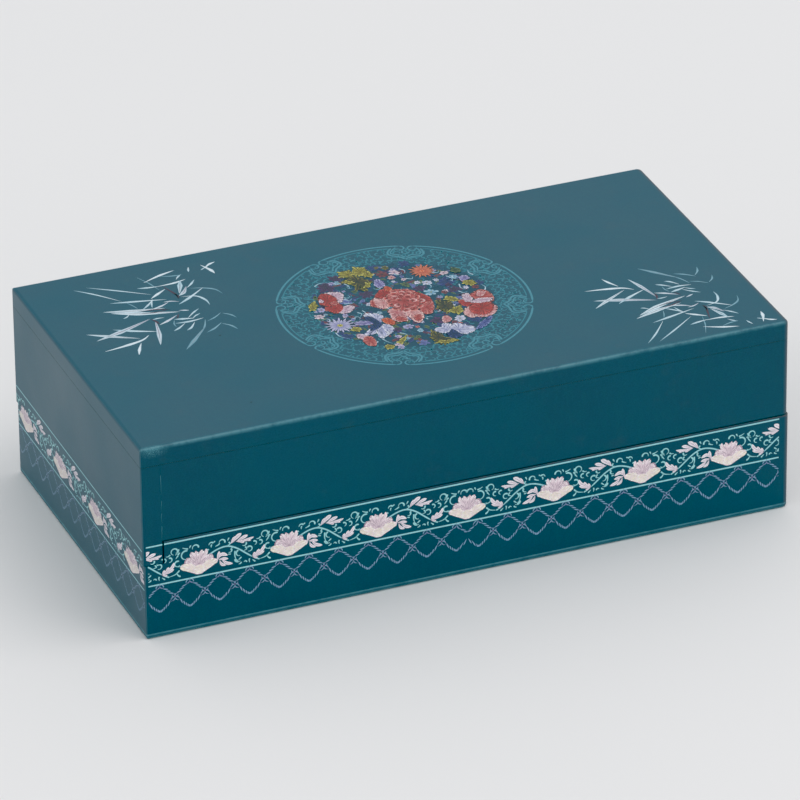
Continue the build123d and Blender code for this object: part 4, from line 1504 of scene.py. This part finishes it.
def peony_heart(core, source):
    """Many small ruffled petals with bright rims, in the middle of the large peony."""
    for k, (u, v, turn) in enumerate(peony_core):
        tints = (RED[0], CORAL[1], BLUSH[2]) if k % 3 == 0 else (MAROON[1], RED[1], CORAL[2])
        u, v = u + 0.9 * (source.random() - 0.5), v + 0.9 * (source.random() - 0.5)
        turn += 90 + 70 * (source.random() - 0.5)
        size = 1.9 + 1.3 * source.random()
        tone = [jitter(source, part, 0.2) for part in tints]
        core.petal((u, v), size, size * 1.2, turn, tone, level=0.4 * (k % 4))
        core.hook(u, v, 0.9, turn - 90, 180, 0.5, (MAROON[0], RED[0]), level=2)
        rim = [polar(size * reach, turn + aside) for reach, aside in ((0.86, -34), (1.0, 0), (0.86, 34))]
        core.stroke([(u + x, v + y) for x, y in rim], 0.36, (BLUSH[2], CORAL[2]), "lance", level=2.2)


# The listed points' own origin on the lid, and their scale
drawn_place = (-0.42, -0.39)
drawn_scale = (0.995, 0.992)


def paint_medallion():
    """The round picture: its ring, its leaves and its flowers."""
    ring = Brush().at(*disc_middle)
    scroll_ring(ring)
    paint_piece("medallion_ring", ring, on_top, "lid")
    source = random.Random(11)
    leaves = Brush()
    disc_ground(leaves.at(*disc_middle))
    leaf_disc(leaves.at(*drawn_place, scale=drawn_scale), source)
    paint_piece("medallion_leaves", leaves, on_top, "lid")
    flowers = Brush()
    flower_disc(flowers.at(*drawn_place, scale=drawn_scale), source)
    paint_piece("medallion_flowers", flowers, on_top, "lid")


# The bamboo sprays. The right one is the left one, mirrored front to back and a little smaller
right_spray_scale = (0.905, -0.93)
right_spray_place = (179.5, -12.3)
WHITE = (BLADE_WHITE, BLADE_WHITE, BLADE_PALE)
PALE = (BLADE_PALE, BLADE_WHITE, BLADE_PALE)
FAINT = (BLADE_FAINT, BLADE_PALE, BLADE_FAINT)
PINK = (BLADE_WHITE, BLADE_PINK, BLADE_PALE)
ribbed_from = 1.7
# Blades: points from the tip to the stem, width and tints
bamboo_blades = [
    ([(-114.5, 61.5), (-107.5, 54.4), (-100, 45)], 0.9, PALE),
    ([(-109.2, 61.8), (-98, 54), (-87, 45.8)], 0.9, PALE),
    ([(-105, 45.2), (-95, 42.8), (-83, 39.8)], 1.4, PALE),
    ([(-98.8, 43.2), (-97.3, 40), (-96.2, 36.4)], 0.6, FAINT),
    ([(-94.8, 35.2), (-91.5, 38), (-88, 42)], 1, PALE),
    ([(-90.8, 35.2), (-89.8, 38.6), (-88.6, 41)], 0.8, PALE),
    ([(-88.6, 42.6), (-84.5, 45.6), (-80.4, 48.4)], 1.5, WHITE),
    ([(-82.4, 46.6), (-83.6, 51), (-84.6, 55), (-86.2, 59), (-87.8, 62.6)], 0.6, FAINT),
    ([(-71.6, 62.2), (-79, 60), (-86.6, 56.6)], 1.5, WHITE),
    ([(-69.8, 57.4), (-74, 57.8), (-78.4, 59.2)], 0.9, FAINT),
    ([(-70.4, 57.8), (-72.2, 56.2), (-73.8, 54.2)], 0.9, PALE),
    ([(-90.8, 53), (-86.4, 52), (-81.8, 51.4)], 1.3, PALE),
    ([(-70, 53.2), (-76, 51.8), (-83, 51.6)], 1.3, WHITE),
    ([(-72.6, 53), (-74.4, 48), (-76.6, 42.6)], 2.2, PALE),
    ([(-77.4, 40.8), (-74.6, 43), (-72, 47.4)], 2, PINK),
    ([(-67, 51.6), (-69.6, 48.4), (-72.2, 46)], 1, PALE),
    ([(-60.8, 35.6), (-62.4, 40.4), (-66.4, 43.4), (-71.4, 45.2)], 1, FAINT),
    ([(-80.2, 33.8), (-74, 37.8), (-66.2, 43.8)], 1.4, PALE),
    ([(-68.9, 28.8), (-69, 33.4), (-71.4, 38), (-77.2, 39.6)], 1.2, PALE),
    ([(-110, 39.2), (-98, 35.4), (-86, 33)], 2.4, WHITE),
    ([(-107.6, 37), (-96, 32), (-81.6, 27.8)], 2.9, WHITE),
    ([(-104.6, 30.8), (-102.8, 31.6), (-101, 33.4)], 0.8, PALE),
    ([(-91.2, 34), (-87, 35.2), (-83, 37.4)], 1.2, PINK),
    ([(-85.2, 38), (-82, 37.6), (-79, 36)], 0.9, PINK),
    ([(-120.6, 17.2), (-108, 21.2), (-94.6, 26.8)], 2.6, PINK),
    ([(-122.6, 24), (-114, 18.6), (-103.8, 12.6)], 1.9, WHITE),
    ([(-111.6, 23.8), (-104, 19.4), (-95.8, 15.6)], 1.6, PALE),
    ([(-120.8, 7.6), (-112, 9), (-104, 11), (-99.8, 14.2)], 1.7, WHITE),
    ([(-109.2, 0), (-107.4, 4.4), (-105, 9)], 1.4, WHITE),
    ([(-98.6, 4.4), (-95.8, 14), (-93.4, 25)], 2, PINK),
    ([(-94.4, 25.6), (-92, 25.9), (-89.2, 25.6)], 0.9, PALE),
    ([(-93.2, 20.4), (-88.6, 22.6), (-83.8, 25.8)], 1.4, PINK),
    ([(-86.4, 22.6), (-82.6, 21.6), (-78.6, 20.6)], 1.5, PALE),
    ([(-74, 27.6), (-77.4, 25), (-80.8, 21.6)], 0.9, PALE),
    ([(-74.8, 23.6), (-77.2, 22.4), (-79.4, 20.4)], 0.8, PALE),
    ([(-87.2, 19.2), (-81, 18.6), (-75, 19.4)], 1.3, PALE),
    ([(-89.8, 13.4), (-87, 15), (-83.4, 18)], 1.1, PALE),
    ([(-84.8, 12), (-82.4, 13.6), (-79.6, 17.4)], 1.1, PALE),
    ([(-87.6, 16), (-87.6, 19), (-86.4, 22)], 0.6, FAINT),
    ([(-90.8, -3.2), (-84.6, 3.6), (-77.4, 11.8)], 1.9, FAINT),
    ([(-80.2, 7.8), (-77, 13), (-75, 18)], 0.8, FAINT),
    ([(-78.4, 7.2), (-74.2, 9.4), (-70, 13)], 1.1, FAINT),
    ([(-75.2, 16), (-71, 18), (-67.2, 21)], 0.8, FAINT),
    ([(-66, 5), (-67.4, 9), (-70.2, 12.2)], 1, FAINT),
    ([(-63, 14.4), (-64.4, 17.8), (-67, 20.2)], 0.9, FAINT),
    ([(-66.8, 58.4), (-66.2, 60.6), (-65.4, 62.6)], 0.9, PALE),
    ([(-57.6, 53.4), (-58.2, 57), (-60.4, 62.4)], 1.7, WHITE),
    ([(-54, 62.8), (-57, 61.6), (-60, 59)], 1.3, WHITE),
    ([(-61.8, 58.2), (-60.6, 59), (-59.4, 59.8)], 0.7, PALE),
    ([(-78, 27.6), (-80, 28.4), (-82, 29.2)], 1, PINK),
]
# Twigs: points and width
bamboo_twigs = [
    ([(-78.6, 38.4), (-78.2, 42), (-79.4, 46.6), (-80.6, 51)], 1),
    ([(-78.2, 38.6), (-78, 41), (-78.6, 43.6)], 1.2),
    ([(-84.6, 31), (-90, 33.2), (-96, 34)], 0.8),
    ([(-93, 20.8), (-93.4, 23.6), (-94.6, 26.4)], 1.1),
    ([(-85.2, 22.6), (-84, 24.4), (-83, 26.6)], 0.7),
    ([(-96.4, 32.4), (-90, 31), (-85.4, 31.6)], 0.6),
]


def bamboo_spray(brush):
    """Loose bamboo leaves on a few dark twigs, with a small crossed pair above."""
    for k, (line, width, tints) in enumerate(bamboo_blades):
        brush.stroke(line, width, tints, "blade", level=(k % 12) * 0.5)
        if width > ribbed_from:
            brush.stroke(line, width * 0.18, (BLADE_PALE, TWIG_BROWN), "blade", level=7)
    for line, width in bamboo_twigs:
        brush.stroke(line, width, (TWIG_DARK, TWIG_BROWN), "blade", level=8)


def paint_sprays():
    """One spray at each end of the lid."""
    left = Brush()
    right = Brush().at(*right_spray_place, scale=right_spray_scale)
    for name, brush in (("bamboo_left", left), ("bamboo_right", right)):
        bamboo_spray(brush.at(*drawn_place, scale=drawn_scale))
        paint_piece(name, brush, on_top, "lid")


# Small marks of use: the heights between which the front's joint has cracked, and specks on the lid
crack_heights = ((70.5, 61.0), (59.5, 55.0), (54.0, 49.5), (48.5, 42.5))
crack_tints = (between(LACQUER_GREEN, PALE_WEAR_AND_HIGHLIGHT, 0.6), LACQUER_GREEN)
crack_steps = 6
speck_places = ((-74.5, 2.5), (-83.0, -53.5))


def paint_marks():
    """Hairline cracks in the lacquer over the joint, and dark specks."""
    source = random.Random(5)
    front = Brush()
    for top, foot in crack_heights:
        line = []
        for k in range(crack_steps + 1):
            line.append((hook_inner_x + 0.3 * (source.random() - 0.5), top + (foot - top) * k / crack_steps))
        front.stroke(line, 0.2, crack_tints)
    paint_piece("joint_cracks", front, on_front, "lid")
    lid = Brush()
    for u, v in speck_places:
        speck = [(u - 0.5, v - 0.3), (u + 0.1, v), (u + 0.5, v + 0.5)]
        lid.stroke(speck, 0.9, (DARK_LINE, DARK_LINE), "leaf")
    paint_piece("lid_specks", lid, on_top, "lid")


# Felt and silk linings: their grid, and how far in their edges are rounded
sheet_columns = 84
sheet_lines = 44
sheet_edge = 1.2


def eased(low, high, t):
    """A place from low, 0, to high, 1, in steps that are closer at both ends."""
    reach = high - low
    return low + reach * (0.5 - 0.5 * math.cos(math.pi * t)) * 0.5 + reach * t * 0.5


def sheet_points(shape, low, high, face_up, waves):
    """The points of a lining's two faces, lower at their edges. The face that shows is slightly uneven."""
    middle_z = (low.z + high.z) / 2
    half = (high.z - low.z) / 2
    verts = {}
    for face in (-1, 1):
        for i in range(sheet_columns + 1):
            for j in range(sheet_lines + 1):
                x = eased(low.x, high.x, i / sheet_columns)
                y = eased(low.y, high.y, j / sheet_lines)
                inward = min(x - low.x, high.x - x, y - low.y, high.y - y)
                fall = 1 - max(0.0, 1 - inward / sheet_edge) ** 2
                soft = half * (0.25 + 0.75 * fall)
                if face == face_up:
                    soft *= 0.94 + 0.06 * sum(math.sin(a * x + b * y + c) for a, b, c in waves) / len(waves)
                verts[face, i, j] = shape.verts.new((x * MM, y * MM, (middle_z + face * soft) * MM))
    return verts


def sheet_faces(shape, verts):
    """A lining's two faces, and the border that joins them."""
    for i in range(sheet_columns):
        for j in range(sheet_lines):
            for face in (-1, 1):
                cell = ((i, j), (i + 1, j), (i + 1, j + 1), (i, j + 1))
                ring = [verts[face, *corner] for corner in cell]
                shape.faces.new(ring if face == 1 else ring[::-1])
    border = [(i, 0) for i in range(sheet_columns)]
    border += [(sheet_columns, j) for j in range(sheet_lines)]
    border += [(i, sheet_lines) for i in range(sheet_columns, 0, -1)]
    border += [(0, j) for j in range(sheet_lines, 0, -1)]
    for here, there in zip(border, border[1:] + border[:1]):
        shape.faces.new([verts[-1, *here], verts[-1, *there], verts[1, *there], verts[1, *here]])
    bmesh.ops.recalc_face_normals(shape, faces=shape.faces[:])


def soft_sheet(name, node, material, body, face_up, seed):
    """A thin lining that keeps its packed size, with rounded edges and slight unevenness."""
    low, high = corners(node)
    source = random.Random(seed)
    waves = []
    for _ in range(5):
        waves.append((source.uniform(0.02, 0.12), source.uniform(0.02, 0.12), source.uniform(0, 6.3)))
    shape = bmesh.new()
    sheet_faces(shape, sheet_points(shape, low, high, face_up, waves))
    piece = stand(name, smooth_mesh(name, shape, material))
    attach(piece, body)
    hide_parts(node)
    return piece, ((high.x - low.x) * MM, (high.y - low.y) * MM)


def make_linings():
    """The felt on the floor and the silk under the top panel."""
    floor, floor_size = soft_sheet("floor_felt", "base_floor_felt", felt(), "base", 1, 3)
    lining, lining_size = soft_sheet("lid_silk", "lid_lining", silk(), "lid", -1, 4)


# Floor and light, in metres and watts
paper_reach = 14
light_aim = Vector((0, 0, 0.05))
room_colour = (0.965, 0.98, 1.0, 1)
room_strength = 0.8
# Each light's place, size, power and colour
lights = {
    "key": ((1.0, -0.68, 2.4), 1.8, 16.9, (1.0, 0.99, 0.975)),
    "fill": ((-1.5, 0.45, 0.9), 1.0, 2.0, (1.0, 0.99, 0.985)),
}


def make_floor():
    """A pale sweep of paper, wide enough for every view."""
    ends = [(side * paper_reach, end * paper_reach, 0) for side, end in ((-1, -1), (1, -1), (1, 1), (-1, 1))]
    mesh = bpy.data.meshes.new("floor")
    mesh.from_pydata(ends, [], [(0, 1, 2, 3)])
    look = Look("pale_paper")
    colour = look.mix(look.noise(400, detail=2), seen(230, 230, 230), seen(234, 233, 233))
    mesh.materials.append(look.finish(colour, 0.7))
    floor = stand("floor", mesh)


def make_lights():
    """A bright even room, a large light above, right and in front, and a weak one at the left."""
    world = bpy.data.worlds.new("studio")
    world.use_nodes = True
    background = world.node_tree.nodes["Background"]
    background.inputs["Color"].default_value = room_colour
    background.inputs["Strength"].default_value = room_strength
    bpy.context.scene.world = world
    for name, (place, size, power, colour) in lights.items():
        data = bpy.data.lights.new(name, "AREA")
        data.size = size
        data.energy = power
        data.color = colour
        light = stand(name, data)
        light.location = place
        light.rotation_euler = (light_aim - Vector(place)).to_track_quat("-Z", "Y").to_euler()


red_gain = 1.045
red_cut = 0.036


def grade():
    """The photograph's own colours: plain display colours, with the darkest reds cut off."""
    scene = bpy.context.scene
    scene.view_settings.view_transform = "Standard"
    scene.view_settings.look = "None"
    scene.use_nodes = True
    tree = scene.node_tree
    tree.nodes.clear()
    layers = tree.nodes.new("CompositorNodeRLayers")
    balance = tree.nodes.new("CompositorNodeColorBalance")
    balance.correction_method = "OFFSET_POWER_SLOPE"
    balance.slope = (red_gain, 1.0, 1.0)
    balance.offset_basis = -red_cut
    balance.offset = (0.0, red_cut, red_cut)
    shown = tree.nodes.new("CompositorNodeComposite")
    tree.links.new(layers.outputs["Image"], balance.inputs["Image"])
    tree.links.new(balance.outputs["Image"], shown.inputs["Image"])


make_camera()
make_floor()
make_lights()
grade()
dress_cad_nodes()
paint_long_side("front", on_front, False)
paint_long_side("back", on_back, True)
paint_ends()
paint_medallion()
paint_sprays()
paint_marks()
make_linings()
